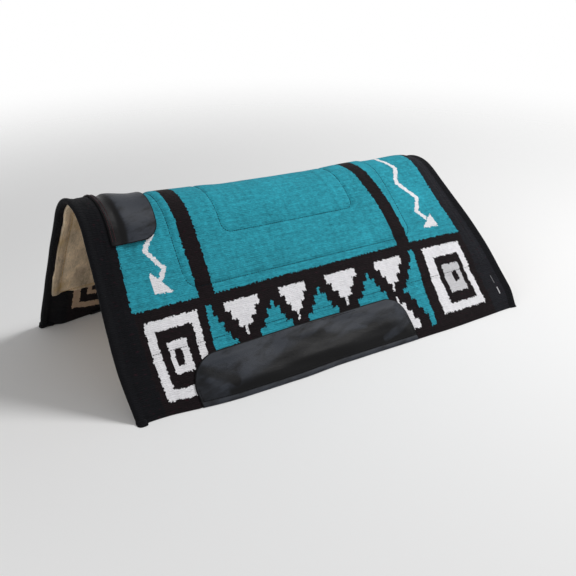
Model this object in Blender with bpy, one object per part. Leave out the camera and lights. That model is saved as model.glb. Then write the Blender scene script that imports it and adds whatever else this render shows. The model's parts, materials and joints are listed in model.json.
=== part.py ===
# Cutter saddle pad: a woven blanket over a felt filler, with a tan lining, edge bindings and leathers.
# Metres, Z up, X from the front edge to the rear edge, near side toward -Y, hems on the floor at z 0.
# Every piece is drawn as it lies on the bench (u along, s across from the ridge, n out of the pad)
# and then bent over the standing section.
import math

import bmesh
import bpy
from mathutils import Matrix, Vector

# Driving sizes of the pad, laid out flat
pad_length = 0.8128
half_width = 0.3937
fold_at = 0.108

# Standing section at the front edge and at the rear edge
front_crown_radius = 0.065
front_top_slope = math.radians(68.0)
front_hem_slope = math.radians(51.0)
rear_crown_radius = 0.085
rear_top_slope = math.radians(32.5)
rear_hem_slope = math.radians(53.0)

# Thicknesses
blanket_thickness = 0.0045
filler_thickness = 0.011
lining_thickness = 0.007
binding_thickness = 0.0025
leather_thickness = 0.0022
piece_gap = 0.0003

# Where the sewn outlines lie
filler_start = 0.155
filler_bottom = 0.1935
quilt_start = 0.26
lining_inset = 0.03
lining_bottom = 0.292
binding_outer_leg = 0.016
binding_inner_leg = 0.026

# Leathers
withers_start = 0.05
withers_end = 0.141
withers_bottom = 0.094
withers_corner = 0.026
wear_start = 0.104
wear_end = 0.56
wear_height = 0.0877
wear_front_corner = 0.045
wear_rear_corner = 0.032
wear_return = 0.015

# Relief of the sewn top
seam_depth = 0.0022
seam_run = 0.01
filler_step = 0.003
edge_step = 0.002
edge_run = 0.014
lining_run = 0.014

# Fold of each side: it closes this far before the cut faces meet
fold_cut = math.radians(30.0)

# How finely the sheets are divided
crown_shares = (0.0, 0.18, 0.36, 0.54)
arc_shares = (0.0, 0.7, 1.0)
nose_shares = (0.0, 0.146, 0.5, 0.854, 1.0)
field_step = 0.095
side_step = 0.045
least_step = 0.0009
hem_zone = 0.005
weld_distance = 0.00002

# Derived sizes
filler_end = pad_length - filler_start
quilt_end = pad_length - quilt_start
lining_end = pad_length - lining_inset
wear_top = half_width - wear_height
edge_level = -(filler_step + edge_step)
edge_cut = binding_thickness + piece_gap
filler_level = -(blanket_thickness + piece_gap)
filler_floor = filler_level - filler_thickness

materials = {
    "Woven wool": ((0.035, 0.36, 0.42), 0.95),
    "Black wool": ((0.012, 0.011, 0.013), 0.95),
    "Grey felt": ((0.30, 0.29, 0.28), 0.97),
    "Tan lining": ((0.42, 0.31, 0.20), 0.96),
    "Black leather": ((0.022, 0.022, 0.024), 0.42),
}


def section_at(run, radius, top_slope, hem_slope):
    """Sideways place, height under the ridge and slope at a run from the ridge over one section."""
    crown = radius * top_slope
    if run < crown:
        slope = run / radius
        return radius * math.sin(slope), radius * (math.cos(slope) - 1.0), slope
    bend = (hem_slope - top_slope) / (half_width - crown)
    slope = top_slope + bend * (run - crown)
    side = radius * math.sin(top_slope)
    drop = radius * (math.cos(top_slope) - 1.0)
    if abs(bend) * half_width < weld_distance:
        left = run - crown
        return side + left * math.cos(top_slope), drop - left * math.sin(top_slope), slope
    side += (math.sin(slope) - math.sin(top_slope)) / bend
    drop += (math.cos(slope) - math.cos(top_slope)) / bend
    return side, drop, slope


def bend(u, s, n):
    """World point of a bench point."""
    rear_part = u / pad_length
    side = 0.0
    height = 0.0
    for part, radius, top, hem in (
        (1.0 - rear_part, front_crown_radius, front_top_slope, front_hem_slope),
        (rear_part, rear_crown_radius, rear_top_slope, rear_hem_slope),
    ):
        stand = -section_at(half_width, radius, top, hem)[1]
        across, drop, slope = section_at(abs(s), radius, top, hem)
        side += part * (across + n * math.sin(slope))
        height += part * (stand + drop + n * math.cos(slope))
    return u - pad_length / 2.0, math.copysign(side, s), height


def bend_to_floor(u, s, n):
    """World point of a bench point beside the hem: what is left of the run is its height."""
    wanted = half_width - abs(s)
    run = abs(s)
    for _ in range(8):
        high = bend(u, math.copysign(run, s), n)[2]
        higher = bend(u, math.copysign(run - piece_gap, s), n)[2]
        run += piece_gap * (high - wanted) / (higher - high)
    x, y, _ = bend(u, math.copysign(run, s), n)
    return x, y, wanted


def rise(distance, run):
    return min(max(distance / run, 0.0), 1.0)


def past_box(u, s, start, end, bottom):
    """How far a bench point lies outside a sewn box; less than zero inside it."""
    return max(start - u, u - end, abs(s) - bottom)


def outer_face(u, s):
    """Height of the blanket's outer face over the drawn section."""
    past_filler = past_box(u, s, filler_start, filler_end, filler_bottom)
    past_quilt = past_box(u, s, quilt_start, quilt_end, fold_at)
    past_lining = past_box(u, s, lining_inset, lining_end, lining_bottom)
    depth = filler_step * rise(past_filler, seam_run) + edge_step * rise(past_lining, edge_run)
    depth += seam_depth * (1.0 - rise(abs(past_filler), seam_run))
    depth += seam_depth * (1.0 - rise(abs(past_quilt), seam_run))
    return -depth


def blanket_back(u, s):
    return outer_face(u, s) - blanket_thickness


def lining_top(u, s):
    past_filler = past_box(u, s, filler_start, filler_end, filler_bottom)
    part = rise(past_filler - seam_run, lining_run)
    under_filler = filler_floor - piece_gap
    under_blanket = blanket_back(u, s) - piece_gap
    return under_filler + part * (under_blanket - under_filler)


def divide(marks, step):
    """Marks in order, none closer than the least step, with more between them where they are far apart."""
    kept = [min(marks)]
    for mark in sorted(marks):
        if mark - kept[-1] > least_step:
            kept.append(mark)
    kept[-1] = max(marks)
    stations = [kept[0]]
    for mark in kept[1:]:
        parts = max(1, math.ceil((mark - stations[-1]) / step))
        first = stations[-1]
        for count in range(1, parts + 1):
            stations.append(first + (mark - first) * count / parts)
    return stations


def clip(stations, low, high):
    """The stations of a piece that runs from low to high."""
    inner = [station for station in stations if low < station < high]
    return [low] + inner + [high]


def corner_cut(past, radius):
    """How far a rounded corner draws a side in, past the start of its arc."""
    if past <= 0.0 or radius <= 0.0:
        return 0.0
    past = min(past, radius)
    return radius - math.sqrt(max(radius * radius - past * past, 0.0))


def add_slab(name, columns, rows, outer, inner, material, fold_side):
    """One closed sheet: a grid of columns and rows with an outer and an inner face, bent into place.

    fold_side is -1 on the crown and 1 on a side, whose pieces have their origin on their fold line.
    """
    form = bmesh.new()
    bmesh.ops.create_grid(form, x_segments=columns - 1, y_segments=rows - 1, size=1.0)
    for vert in form.verts:
        vert.co.x = round((vert.co.x + 1.0) / 2.0 * (columns - 1))
        vert.co.y = round((vert.co.y + 1.0) / 2.0 * (rows - 1))
    for face in list(form.faces):
        order = sorted(face.verts, key=lambda vert: vert.co.x + vert.co.y)
        bmesh.utils.face_split(face, order[0], order[-1])
    made = bmesh.ops.extrude_face_region(form, geom=form.faces[:])["geom"]
    for vert in made:
        if isinstance(vert, bmesh.types.BMVert):
            vert.co.z = 1.0
    for vert in form.verts:
        place = outer if vert.co.z > 0.0 else inner
        vert.co = place(round(vert.co.x), round(vert.co.y))
    bmesh.ops.remove_doubles(form, verts=form.verts, dist=weld_distance)
    bmesh.ops.dissolve_degenerate(form, edges=form.edges, dist=weld_distance)
    for vert in form.verts:
        u, s, n = vert.co
        if half_width - abs(s) < hem_zone:
            vert.co = bend_to_floor(u, s, n)
            continue
        if abs(abs(s) - fold_at) < weld_distance:
            away = piece_gap / 2.0 - n * math.tan(fold_cut / 2.0)
            s = math.copysign(abs(s) + fold_side * away, s)
        vert.co = bend(u, s, n)
    bmesh.ops.recalc_face_normals(form, faces=form.faces)
    origin = Vector((0.0, 0.0, 0.0))
    if fold_side > 0:
        origin = Vector(bend(pad_length / 2.0, math.copysign(fold_at, form.verts[:][0].co.y), 0.0))
    mesh = bpy.data.meshes.new(name)
    form.to_mesh(mesh)
    form.free()
    mesh.transform(Matrix.Translation(-origin))
    for polygon in mesh.polygons:
        polygon.use_smooth = True
    mesh.set_sharp_from_angle(angle=math.radians(35.0))
    mesh.materials.append(made_materials[material])
    thing = bpy.data.objects.new(name, mesh)
    thing.location = origin
    collection.objects.link(thing)
    return thing


def add_sheet(name, stations, rows, span, outer, inner, material, fold_side):
    """A sheet whose row k runs over u from span(row)[0] to span(row)[1]."""
    longest = clip(stations, *min((span(s) for s in rows), key=lambda ends: ends[0] - ends[1]))

    def u_of(column, s):
        low, high = span(s)
        return min(max(longest[column], low), high)

    def point(face, column, row):
        s = rows[row]
        u = u_of(column, s)
        return u, s, face(u, s)

    return add_slab(
        name,
        len(longest),
        len(rows),
        lambda column, row: point(outer, column, row),
        lambda column, row: point(inner, column, row),
        material,
        fold_side,
    )


def add_binding(name, rows, at_front, fold_side):
    """The folded band round the front or the rear edge: outer leg, rolled nose, inner leg."""
    top = edge_level + piece_gap + binding_thickness
    bottom = edge_level - blanket_thickness - piece_gap - binding_thickness
    nose = (top - bottom) / 2.0
    inner_top = top - binding_thickness
    inner_bottom = bottom + binding_thickness
    outside = [(binding_outer_leg, top)]
    inside = [(binding_outer_leg, inner_top)]
    for count, share in enumerate(nose_shares):
        height = top - 2.0 * nose * share
        reach = nose - math.sqrt(max(nose * nose - (height - top + nose) ** 2, 0.0))
        outside.append((reach, height))
        inside.append((binding_thickness, inner_top if 2 * count < len(nose_shares) - 1 else inner_bottom))
    middle = 1 + len(nose_shares) // 2
    inside[middle] = (binding_thickness, (inner_top + inner_bottom) / 2.0)
    outside.append((binding_inner_leg, bottom))
    inside.append((binding_inner_leg, inner_bottom))

    def point(path, column, row):
        u, n = path[column]
        if not at_front:
            u = pad_length - u
        return u, rows[row], n

    return add_slab(
        name,
        len(outside),
        len(rows),
        lambda column, row: point(outside, column, row),
        lambda column, row: point(inside, column, row),
        "Black wool",
        fold_side,
    )


def add_wear_leather(name, rows, stations, side):
    """The leather over the hem: panel outside, turned under the hem and a short return inside."""
    back = -(blanket_thickness + piece_gap)
    panel = clip(rows, wear_top, half_width - wear_return)
    outside = [(s, piece_gap + leather_thickness) for s in panel]
    inside = [(s, piece_gap) for s in panel]
    outside.append((half_width, piece_gap + leather_thickness))
    inside.append((half_width - leather_thickness, piece_gap))
    outside.append((half_width, back - leather_thickness))
    inside.append((half_width - leather_thickness, back))
    outside.append((half_width - wear_return, back - leather_thickness))
    inside.append((half_width - wear_return, back))
    columns = clip(stations, wear_start, wear_end)

    def point(path, column, row):
        s, over = path[row]
        low = wear_start
        high = wear_end
        if row < len(panel):
            low += corner_cut(wear_top + wear_front_corner - s, wear_front_corner)
            high -= corner_cut(wear_top + wear_rear_corner - s, wear_rear_corner)
        u = min(max(columns[column], low), high)
        return u, side * s, outer_face(u, s) + over

    return add_slab(
        name,
        len(columns),
        len(outside),
        lambda column, row: point(outside, column, row),
        lambda column, row: point(inside, column, row),
        "Black leather",
        1,
    )


# A clean start
for thing in list(bpy.data.objects):
    bpy.data.objects.remove(thing, do_unlink=True)
collection = bpy.data.collections.new("cutter saddle pad")
bpy.context.scene.collection.children.link(collection)
made_materials = {}
for title, (colour, rough) in materials.items():
    made = bpy.data.materials.new(title)
    made.use_nodes = True
    shader = made.node_tree.nodes["Principled BSDF"]
    shader.inputs["Base Color"].default_value = (*colour, 1.0)
    shader.inputs["Roughness"].default_value = rough
    shader.inputs["Metallic"].default_value = 0.0
    made_materials[title] = made

# Shared stations, so that the faces of neighbouring sheets run side by side
half_marks = [edge_cut, binding_outer_leg, lining_inset, filler_start - seam_run - lining_run]
half_marks += [filler_start - seam_run, filler_start, filler_start + seam_run]
crown_marks = half_marks + [quilt_start - seam_run, quilt_start, quilt_start + seam_run]
crown_marks += [pad_length - mark for mark in crown_marks]
crown_stations = divide(crown_marks, field_step)
side_marks = half_marks + [pad_length - mark for mark in half_marks]
side_marks += [wear_start - least_step * 1.1, wear_start, wear_end, wear_end + least_step * 1.1]
side_stations = divide(side_marks, field_step)

crown_half = [withers_bottom * share for share in crown_shares]
crown_half += [withers_bottom - withers_corner * (1.0 - share) for share in arc_shares]
crown_half = divide(crown_half + [fold_at], side_step)
crown_rows = [-s for s in reversed(crown_half[1:])] + crown_half
side_half = [fold_at, fold_at + seam_run]
side_half += [filler_bottom - seam_run, filler_bottom, filler_bottom + seam_run]
side_half += [filler_bottom + seam_run + lining_run]
side_half += [lining_bottom, lining_bottom + edge_run]
side_half += [wear_top + wear_rear_corner * (1.0 - share) for share in arc_shares[:-1]]
side_half += [wear_top, wear_top + wear_front_corner, half_width - wear_return, half_width]
side_half = divide(side_half, side_step)


def whole_span(s):
    return edge_cut, pad_length - edge_cut


def lining_span(s):
    return lining_inset, lining_end


def filler_span(s):
    return filler_start, filler_end


def withers_span(s):
    return withers_start, withers_end - corner_cut(abs(s) - (withers_bottom - withers_corner), withers_corner)


def filler_top(u, s):
    return blanket_back(u, s) - piece_gap


def filler_back(u, s):
    return filler_floor


def lining_back(u, s):
    return lining_top(u, s) - lining_thickness


def withers_back(u, s):
    return outer_face(u, s) + piece_gap


def withers_top(u, s):
    return withers_back(u, s) + leather_thickness


def hem_rows(rows, side):
    return [side * s for s in rows]


# Crown
add_sheet("blanket_crown", crown_stations, crown_rows, whole_span, outer_face, blanket_back, "Woven wool", -1)
add_sheet("filler_crown", crown_stations, crown_rows, filler_span, filler_top, filler_back, "Grey felt", -1)
add_sheet("lining_crown", crown_stations, crown_rows, lining_span, lining_top, lining_back, "Tan lining", -1)
withers_rows = [s for s in crown_rows if abs(s) < withers_bottom + weld_distance]
add_sheet(
    "withers_leather", crown_stations, withers_rows, withers_span, withers_top, withers_back, "Black leather", -1
)
add_binding("front_binding_crown", crown_rows, True, -1)
add_binding("rear_binding_crown", crown_rows, False, -1)

# Sides
for label, side in (("near", -1), ("off", 1)):
    whole_rows = hem_rows(side_half, side)

    def side_blanket(column, row, face, side=side):
        u = side_stations[column]
        s = side_half[row]
        if row == len(side_half) - 1 and wear_start - piece_gap <= u <= wear_end + piece_gap:
            s = half_width - leather_thickness - piece_gap
        return u, side * s, face(u, min(s, half_width))

    add_slab(
        "blanket_" + label + "_side",
        len(side_stations),
        len(side_half),
        lambda column, row: side_blanket(column, row, outer_face),
        lambda column, row: side_blanket(column, row, blanket_back),
        "Woven wool",
        1,
    )
    add_sheet(
        "filler_" + label + "_side",
        side_stations,
        hem_rows(clip(side_half, fold_at, filler_bottom), side),
        filler_span,
        filler_top,
        filler_back,
        "Grey felt",
        1,
    )
    add_sheet(
        "lining_" + label + "_side",
        side_stations,
        hem_rows(clip(side_half, fold_at, lining_bottom), side),
        lining_span,
        lining_top,
        lining_back,
        "Tan lining",
        1,
    )
    add_binding("front_binding_" + label + "_side", whole_rows, True, 1)
    add_binding("rear_binding_" + label + "_side", whole_rows, False, 1)
    add_wear_leather("wear_leather_" + label + "_side", side_half, side_stations, side)
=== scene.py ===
"""Looks of the cutter saddle pad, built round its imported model.

Every soft piece is drawn on the bench, laid out flat: along from the front edge to the rear edge,
across from the ridge (near side less than zero), and out of the pad. It is then bent over the
standing section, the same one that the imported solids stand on.
"""

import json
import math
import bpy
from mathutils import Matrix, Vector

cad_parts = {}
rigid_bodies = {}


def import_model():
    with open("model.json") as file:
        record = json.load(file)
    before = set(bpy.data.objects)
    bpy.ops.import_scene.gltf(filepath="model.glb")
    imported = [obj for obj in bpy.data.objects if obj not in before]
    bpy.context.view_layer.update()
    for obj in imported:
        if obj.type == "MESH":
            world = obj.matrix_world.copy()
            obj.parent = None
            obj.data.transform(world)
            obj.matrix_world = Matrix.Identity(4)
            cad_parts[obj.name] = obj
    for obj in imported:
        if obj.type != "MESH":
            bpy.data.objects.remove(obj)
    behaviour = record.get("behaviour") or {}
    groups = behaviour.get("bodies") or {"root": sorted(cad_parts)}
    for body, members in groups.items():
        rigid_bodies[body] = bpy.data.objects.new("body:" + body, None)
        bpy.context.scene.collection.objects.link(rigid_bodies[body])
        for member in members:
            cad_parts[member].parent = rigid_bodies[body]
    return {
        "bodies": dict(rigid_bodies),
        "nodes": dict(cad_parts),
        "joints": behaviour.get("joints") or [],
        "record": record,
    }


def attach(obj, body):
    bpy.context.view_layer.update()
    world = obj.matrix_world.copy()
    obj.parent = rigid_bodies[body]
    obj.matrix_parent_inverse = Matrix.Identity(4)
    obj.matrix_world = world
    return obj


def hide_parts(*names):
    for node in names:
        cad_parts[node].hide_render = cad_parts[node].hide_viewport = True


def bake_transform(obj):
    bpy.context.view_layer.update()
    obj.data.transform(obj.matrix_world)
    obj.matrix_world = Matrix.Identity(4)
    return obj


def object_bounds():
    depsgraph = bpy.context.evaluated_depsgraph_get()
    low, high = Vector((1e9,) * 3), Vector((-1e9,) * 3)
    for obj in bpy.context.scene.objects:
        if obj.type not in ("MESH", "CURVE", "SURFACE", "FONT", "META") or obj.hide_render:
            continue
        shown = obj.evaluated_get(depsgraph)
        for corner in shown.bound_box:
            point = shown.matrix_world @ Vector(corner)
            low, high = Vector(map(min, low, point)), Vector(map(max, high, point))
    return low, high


bl_info = {
    "name": "Cutter Saddle Pad",
    "version": (1, 0, 0),
    "blender": (4, 5, 0),
    "location": "3D View > Sidebar > Saddle Pad",
    "description": "Builds a woven cutter saddle pad with its felt, lining, leathers and stitching",
    "category": "Add Mesh",
}

from functools import reduce
from operator import and_, or_

import bmesh
import bpy
import numpy as np
from bpy.props import FloatProperty, FloatVectorProperty, PointerProperty
from bpy.types import Operator, Panel, PropertyGroup
from mathutils import Matrix, Vector, noise

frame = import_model()
cad_low, cad_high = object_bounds()

BENCH_MAP = "bench"
TINY = 0.00002
SHARP = math.radians(55.0)

# How far the ridge hangs off the drawn one, at even steps from the front to the rear
SWAY = np.array(
    [0.017, 0.0145, 0.0050, 0.004, 0.0035, 0.003, 0.002, 0.000, -0.002, -0.001, -0.003]
    + [-0.002, -0.001, -0.001, 0.000, 0.0020, 0.0040, 0.0050, 0.0065, 0.009, 0.000]
)

# Stretches of the bench, from and to, over which the hanging cloth goes from one hang to the next
SWAY_FADE = (0.0, 0.17)
FLARE_ALONG, FLARE_ACROSS = (0.0, 0.055), (0.12, 0.32)
REAR_ALONG, REAR_ACROSS = (0.74, 0.81), (0.08, 0.28)
TUCK_ALONG, TUCK_ACROSS = (0.755, 0.805), (0.350, 0.394)
CURL_TOP, CURL_START = 0.300, (0.02, 0.18)
CURL_MIDDLE, CURL_REAR = (0.28, 0.40), (0.66, 0.78)
SWING_ACROSS, SWING_FADE = (0.02, 0.16), (0.0, 0.26)
OFF_TOP, OFF_START, OFF_FADE = 0.25, (0.01, 0.045), (0.11, 0.28)
OFF_HEM = (0.345, 0.390)


def length(name, description, default):
    return FloatProperty(
        name=name, description=description, default=default, unit="LENGTH", precision=5
    )


def angle(name, description, degrees):
    return FloatProperty(
        name=name,
        description=description,
        default=math.radians(degrees),
        unit="ROTATION",
        subtype="ANGLE",
    )


def amount(name, description, default):
    return FloatProperty(name=name, description=description, default=default, min=0.0)


def colour(name, description, default):
    return FloatVectorProperty(
        name=name,
        description=description,
        default=default,
        subtype="COLOR",
        size=3,
        min=0.0,
        max=1.0,
    )


class PadShape(PropertyGroup):
    """Outline and standing section of the pad."""

    pad_length: length("Pad length", "From the front edge to the rear edge", cad_high.x - cad_low.x)
    half_width: length("Half width", "From the ridge to a hem, laid flat", 0.3937)
    fold_at: length("Fold", "From the ridge to each shoulder fold", 0.108)
    fold_run: length("Fold run", "Width of the band that bends at a fold", 0.024)
    join_at: length("Join", "From the ridge to where the off pieces start", 0.0955)
    front_radius: length("Front crown radius", "Radius over the withers", 0.065)
    front_top: angle("Front top slope", "Slope beside the withers", 68.0)
    front_hem: angle("Front hem slope", "Slope at the front of the hems", 51.0)
    rear_radius: length("Rear crown radius", "Radius over the back", 0.085)
    rear_top: angle("Rear top slope", "Slope beside the back", 32.5)
    rear_hem: angle("Rear hem slope", "Slope at the rear of the hems", 53.0)
    floor_ease: length("Floor ease", "How softly cloth meets the floor", 0.0012)
    corner_flare: length("Corner flare", "How far the near front corner swings forward", 0.0105)
    rear_flare: length("Rear flare", "How far the near side's rear edge swings back", 0.0125)
    corner_tuck: length("Corner tuck", "How far the near rear corner curls back in", 0.0085)
    hem_curl: length("Hem curl", "How far the near hem curls out", 0.0130)
    off_tuck: length("Off tuck", "How far the off hem is drawn in behind its front corner", 0.016)
    off_swing: length("Off swing", "How far the off side swings out at the front", 0.020)


class PadLayers(PropertyGroup):
    """Thickness of each layer, and where its sewn outline lies."""

    blanket: length("Blanket", "Thickness of the woven blanket", 0.0045)
    felt: length("Felt", "Thickness of the felt filler", 0.011)
    lining: length("Lining", "Thickness of the lining", 0.007)
    binding: length("Binding", "Thickness of the edge bindings", 0.0025)
    leather: length("Leather", "Thickness of the leathers", 0.0022)
    gap: length("Gap", "Air between two layers", 0.0003)
    felt_start: length("Felt start", "From an end to the felt", 0.155)
    felt_bottom: length("Felt bottom", "From the ridge to the felt's edge", 0.1935)
    felt_corner: length("Felt corner", "Corner radius of the seam round the felt", 0.025)
    quilt_start: length("Quilt start", "From an end to the seat seam", 0.257)
    quilt_corner: length("Quilt corner", "Corner radius of the seat seam", 0.018)
    lining_inset: length("Lining inset", "From an end to the seam round the lining", 0.03)
    lining_end: length("Lining end", "From an end to the lining's edge", 0.0130)
    lining_bottom: length("Lining bottom", "From the ridge to the seam round the lining", 0.2885)
    lining_edge: length("Lining edge", "From the ridge to the lining's edge", 0.2935)
    off_rise: length("Off rise", "How much higher the lining is sewn on the off side", 0.011)
    felt_rise: length("Felt rise", "How far the felt lifts the blanket", 0.003)
    edge_fall: length("Edge fall", "How far the blanket falls past the lining", 0.002)
    seam_depth: length("Seam depth", "Depth of a sewn channel", 0.0034)
    seam_width: length("Seam width", "Half width of a sewn channel", 0.0042)
    swell_limit: length("Swell limit", "Most that a panel may swell", 0.0035)
    lump: length("Lumps", "Height of the soft unevenness of the wool", 0.0014)
    cell: length("Cell", "Largest face of the cloth", 0.0045)


class PadLeathers(PropertyGroup):
    """Outlines of the leathers."""

    withers_start: length("Withers start", "From the front edge", 0.0428)
    withers_end: length("Withers end", "From the front edge", 0.1375)
    withers_bottom: length("Withers bottom", "From the ridge", 0.0940)
    withers_corner: length("Withers corner", "Radius of the rear corners", 0.026)
    wear_start: length("Wear start", "From the front edge", 0.1035)
    wear_end: length("Wear end", "From the front edge", 0.5595)
    wear_top: length("Wear top", "From the ridge", 0.3057)
    wear_corner: length("Wear corner", "Radius of the rear top corner", 0.036)
    wear_return: length("Wear return", "Length turned up inside the hem", 0.015)
    wear_seam: length("Wear seam", "From the ridge to the seam over the fold", 0.3812)


class PadColours(PropertyGroup):
    """Colours of the yarns, felts, leather and threads."""

    teal: colour("Teal yarn", "Field", (0.027, 0.305, 0.395))
    warm_black: colour("Warm black yarn", "Bars and figures", (0.0080, 0.0053, 0.0063))
    cold_black: colour("Cold black yarn", "End borders", (0.0046, 0.0048, 0.0062))
    red_fleck: colour("Red fleck", "Reddish fibres in the black yarn", (0.030, 0.008, 0.014))
    white: colour("White yarn", "Frames, figures and arrows", (0.87, 0.86, 0.89))
    # Painted shade: the white yarn inside the blanket is darker and tan, standing in for shade and
    # warm light bounced off the lining.
    shaded_white: colour("Inner white yarn", "White yarn on the horse's side", (0.56, 0.40, 0.28))
    tan: colour("Tan lining", "Lining", (0.70, 0.555, 0.385))
    stain: colour("Stained lining", "Yellowed patches of the lining", (0.52, 0.34, 0.13))
    grime: colour("Grimy lining", "Dark patches of the lining", (0.30, 0.21, 0.15))
    felt: colour("Grey felt", "Filler", (0.30, 0.29, 0.28))
    leather: colour("Black leather", "Leathers", (0.0032, 0.0032, 0.0037))
    # Painted sheen: the paler leather colour stands in for sheen and reflection of the light as
    # well as for wear.
    sheen_and_wear_leather: colour("Worn leather with painted sheen", "Leathers where rubbed", (0.030, 0.034, 0.043))
    dark_thread: colour("Dark thread", "Quilting stitches", (0.0035, 0.0120, 0.0150))
    red_thread: colour("Red thread", "Stitches of the withers seam", (0.060, 0.022, 0.026))


def settings(context):
    scene = context.scene
    return scene.pad_shape, scene.pad_layers, scene.pad_leathers, scene.pad_colours


# The standing section


def section(run, radius, top_slope, hem_slope, half_width):
    """Sideways place, height under the ridge and slope at runs from the ridge over one section."""
    crown = radius * top_slope
    turn = (hem_slope - top_slope) / (half_width - crown)
    slope = np.where(run < crown, run / radius, top_slope + turn * (run - crown))
    side = radius * math.sin(top_slope) + (np.sin(slope) - math.sin(top_slope)) / turn
    drop = radius * (math.cos(top_slope) - 1.0) + (np.cos(slope) - math.cos(top_slope)) / turn
    side = np.where(run < crown, radius * np.sin(slope), side)
    drop = np.where(run < crown, radius * (np.cos(slope) - 1.0), drop)
    return side, drop, slope


def ease(share):
    """Eases from 0 to 1 as the share does."""
    share = np.clip(share, 0.0, 1.0)
    return share * share * (3.0 - 2.0 * share)


def eased(value, start, end):
    """Eases from 0 at the start to 1 at the end."""
    return ease((value - start) / (end - start))


def rough(along, across, seed):
    """Noise at arrays of places, which a number or an array may give."""
    return np.array([noise.noise(Vector(place)) for place in np.broadcast(along, across, seed)])


def spline_weights(part):
    """Weights of four even knots for parts of the way from the second to the third."""
    return np.stack(
        [
            (1.0 - part) ** 3 / 6.0,
            (3.0 * part**3 - 6.0 * part**2 + 4.0) / 6.0,
            (-3.0 * part**3 + 3.0 * part**2 + 3.0 * part + 1.0) / 6.0,
            part**3 / 6.0,
        ]
    )


def soft_curve(knots, share):
    """Smooth curve along even knots, at shares of the way from the first to the last."""
    place = np.clip(share, 0.0, 1.0) * (len(knots) - 1)
    whole = np.minimum(np.floor(place), len(knots) - 2).astype(int)
    padded = np.pad(knots, 1, mode="edge")
    return sum(weight * padded[whole + k] for k, weight in enumerate(spline_weights(place - whole)))


def hang(shape, along, across):
    """How far cloth hangs off the drawn section: along, away from the ridge, and up."""
    run = np.abs(across)
    near = across < 0.0
    lift = soft_curve(SWAY, along / shape.pad_length) * (1.0 - eased(run, *SWAY_FADE))

    flare = (1.0 - eased(along, *FLARE_ALONG)) * eased(run, *FLARE_ACROSS)
    back = eased(along, *REAR_ALONG) * eased(run, *REAR_ACROSS)
    corner = eased(along, *TUCK_ALONG) * eased(run, *TUCK_ACROSS)
    forward = shape.rear_flare * back - shape.corner_flare * flare - shape.corner_tuck * corner

    curl = eased(run, CURL_TOP, shape.half_width) * (0.15 + 0.85 * eased(along, *CURL_START))
    curl *= 1.45 - 0.45 * eased(along, *CURL_MIDDLE) - 0.35 * eased(along, *CURL_REAR)

    swing = np.sin(math.pi * np.clip(run / shape.half_width, 0.0, 1.0))
    swing *= eased(run, *SWING_ACROSS) * (1.0 - eased(along, *SWING_FADE))
    tuck = eased(run, OFF_TOP, shape.half_width) * eased(along, *OFF_START)
    tuck = (tuck + 0.36 * eased(run, *OFF_HEM)) * (1.0 - eased(along, *OFF_FADE))
    off = shape.off_swing * swing - shape.off_tuck * tuck
    return np.where(near, forward, 0.0), np.where(near, shape.hem_curl * curl, off), lift


def bend_over(shape, bench, hanging=True):
    """World places of bench points, rows of (along, across, out), as drawn or as cloth hangs."""
    along, across, out = np.asarray(bench, float).T
    rear_part = along / shape.pad_length
    side = np.zeros(len(along))
    height = np.zeros(len(along))
    for part, radius, top, hem in (
        (1.0 - rear_part, shape.front_radius, shape.front_top, shape.front_hem),
        (rear_part, shape.rear_radius, shape.rear_top, shape.rear_hem),
    ):
        stand = -section(np.array([shape.half_width]), radius, top, hem, shape.half_width)[1][0]
        over, drop, slope = section(np.abs(across), radius, top, hem, shape.half_width)
        side += part * (over + out * np.sin(slope))
        height += part * (stand + drop + out * np.cos(slope))
    if hanging:
        forward, outward, lift = hang(shape, along, across)
        along, side, height = along + forward, side + outward, height + lift
        height = (height + np.sqrt(height * height + shape.floor_ease**2)) / 2.0
    return np.stack([along - shape.pad_length / 2.0, np.copysign(side, across), height], 1)


def fold_line(shape, side):
    """Middle of a shoulder fold and the unit direction down the pad square to it, side -1 or 1."""
    at = side * shape.fold_at
    step = side * shape.fold_run / 2.0
    middle = shape.pad_length / 2.0
    spots = [(0.0, at, 0.0), (shape.pad_length, at, 0.0)]
    spots += [(middle, at - step, 0.0), (middle, at + step, 0.0)]
    front, rear, upper, lower = (Vector(row) for row in bend_over(shape, spots, hanging=False))
    axis = (rear - front).normalized()
    down = lower - upper
    down = (down - axis * down.dot(axis)).normalized()
    return (front + rear) / 2.0, down


# Relief of the sewn top


def past_box(along, across, start, end, bottom, corner):
    """Distance outside a sewn outline with round corners, less than zero inside it."""
    middle = (start + end) / 2.0
    over = np.abs(along - middle) - (end - middle - corner)
    under = np.abs(across) - (bottom - corner)
    outside = np.hypot(np.maximum(over, 0.0), np.maximum(under, 0.0))
    return outside + np.minimum(np.maximum(over, under), 0.0) - corner


def past_felt(shape, layers, along, across):
    end = shape.pad_length - layers.felt_start
    return past_box(along, across, layers.felt_start, end, layers.felt_bottom, layers.felt_corner)


def past_quilt(shape, layers, along, across):
    end = shape.pad_length - layers.quilt_start
    return past_box(along, across, layers.quilt_start, end, shape.fold_at, layers.quilt_corner)


def past_lining(shape, layers, along, across):
    end = shape.pad_length - layers.lining_inset
    bottom = layers.lining_bottom - np.where(across > 0.0, layers.off_rise, 0.0)
    return past_box(along, across, layers.lining_inset, end, bottom, layers.seam_width)


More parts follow.
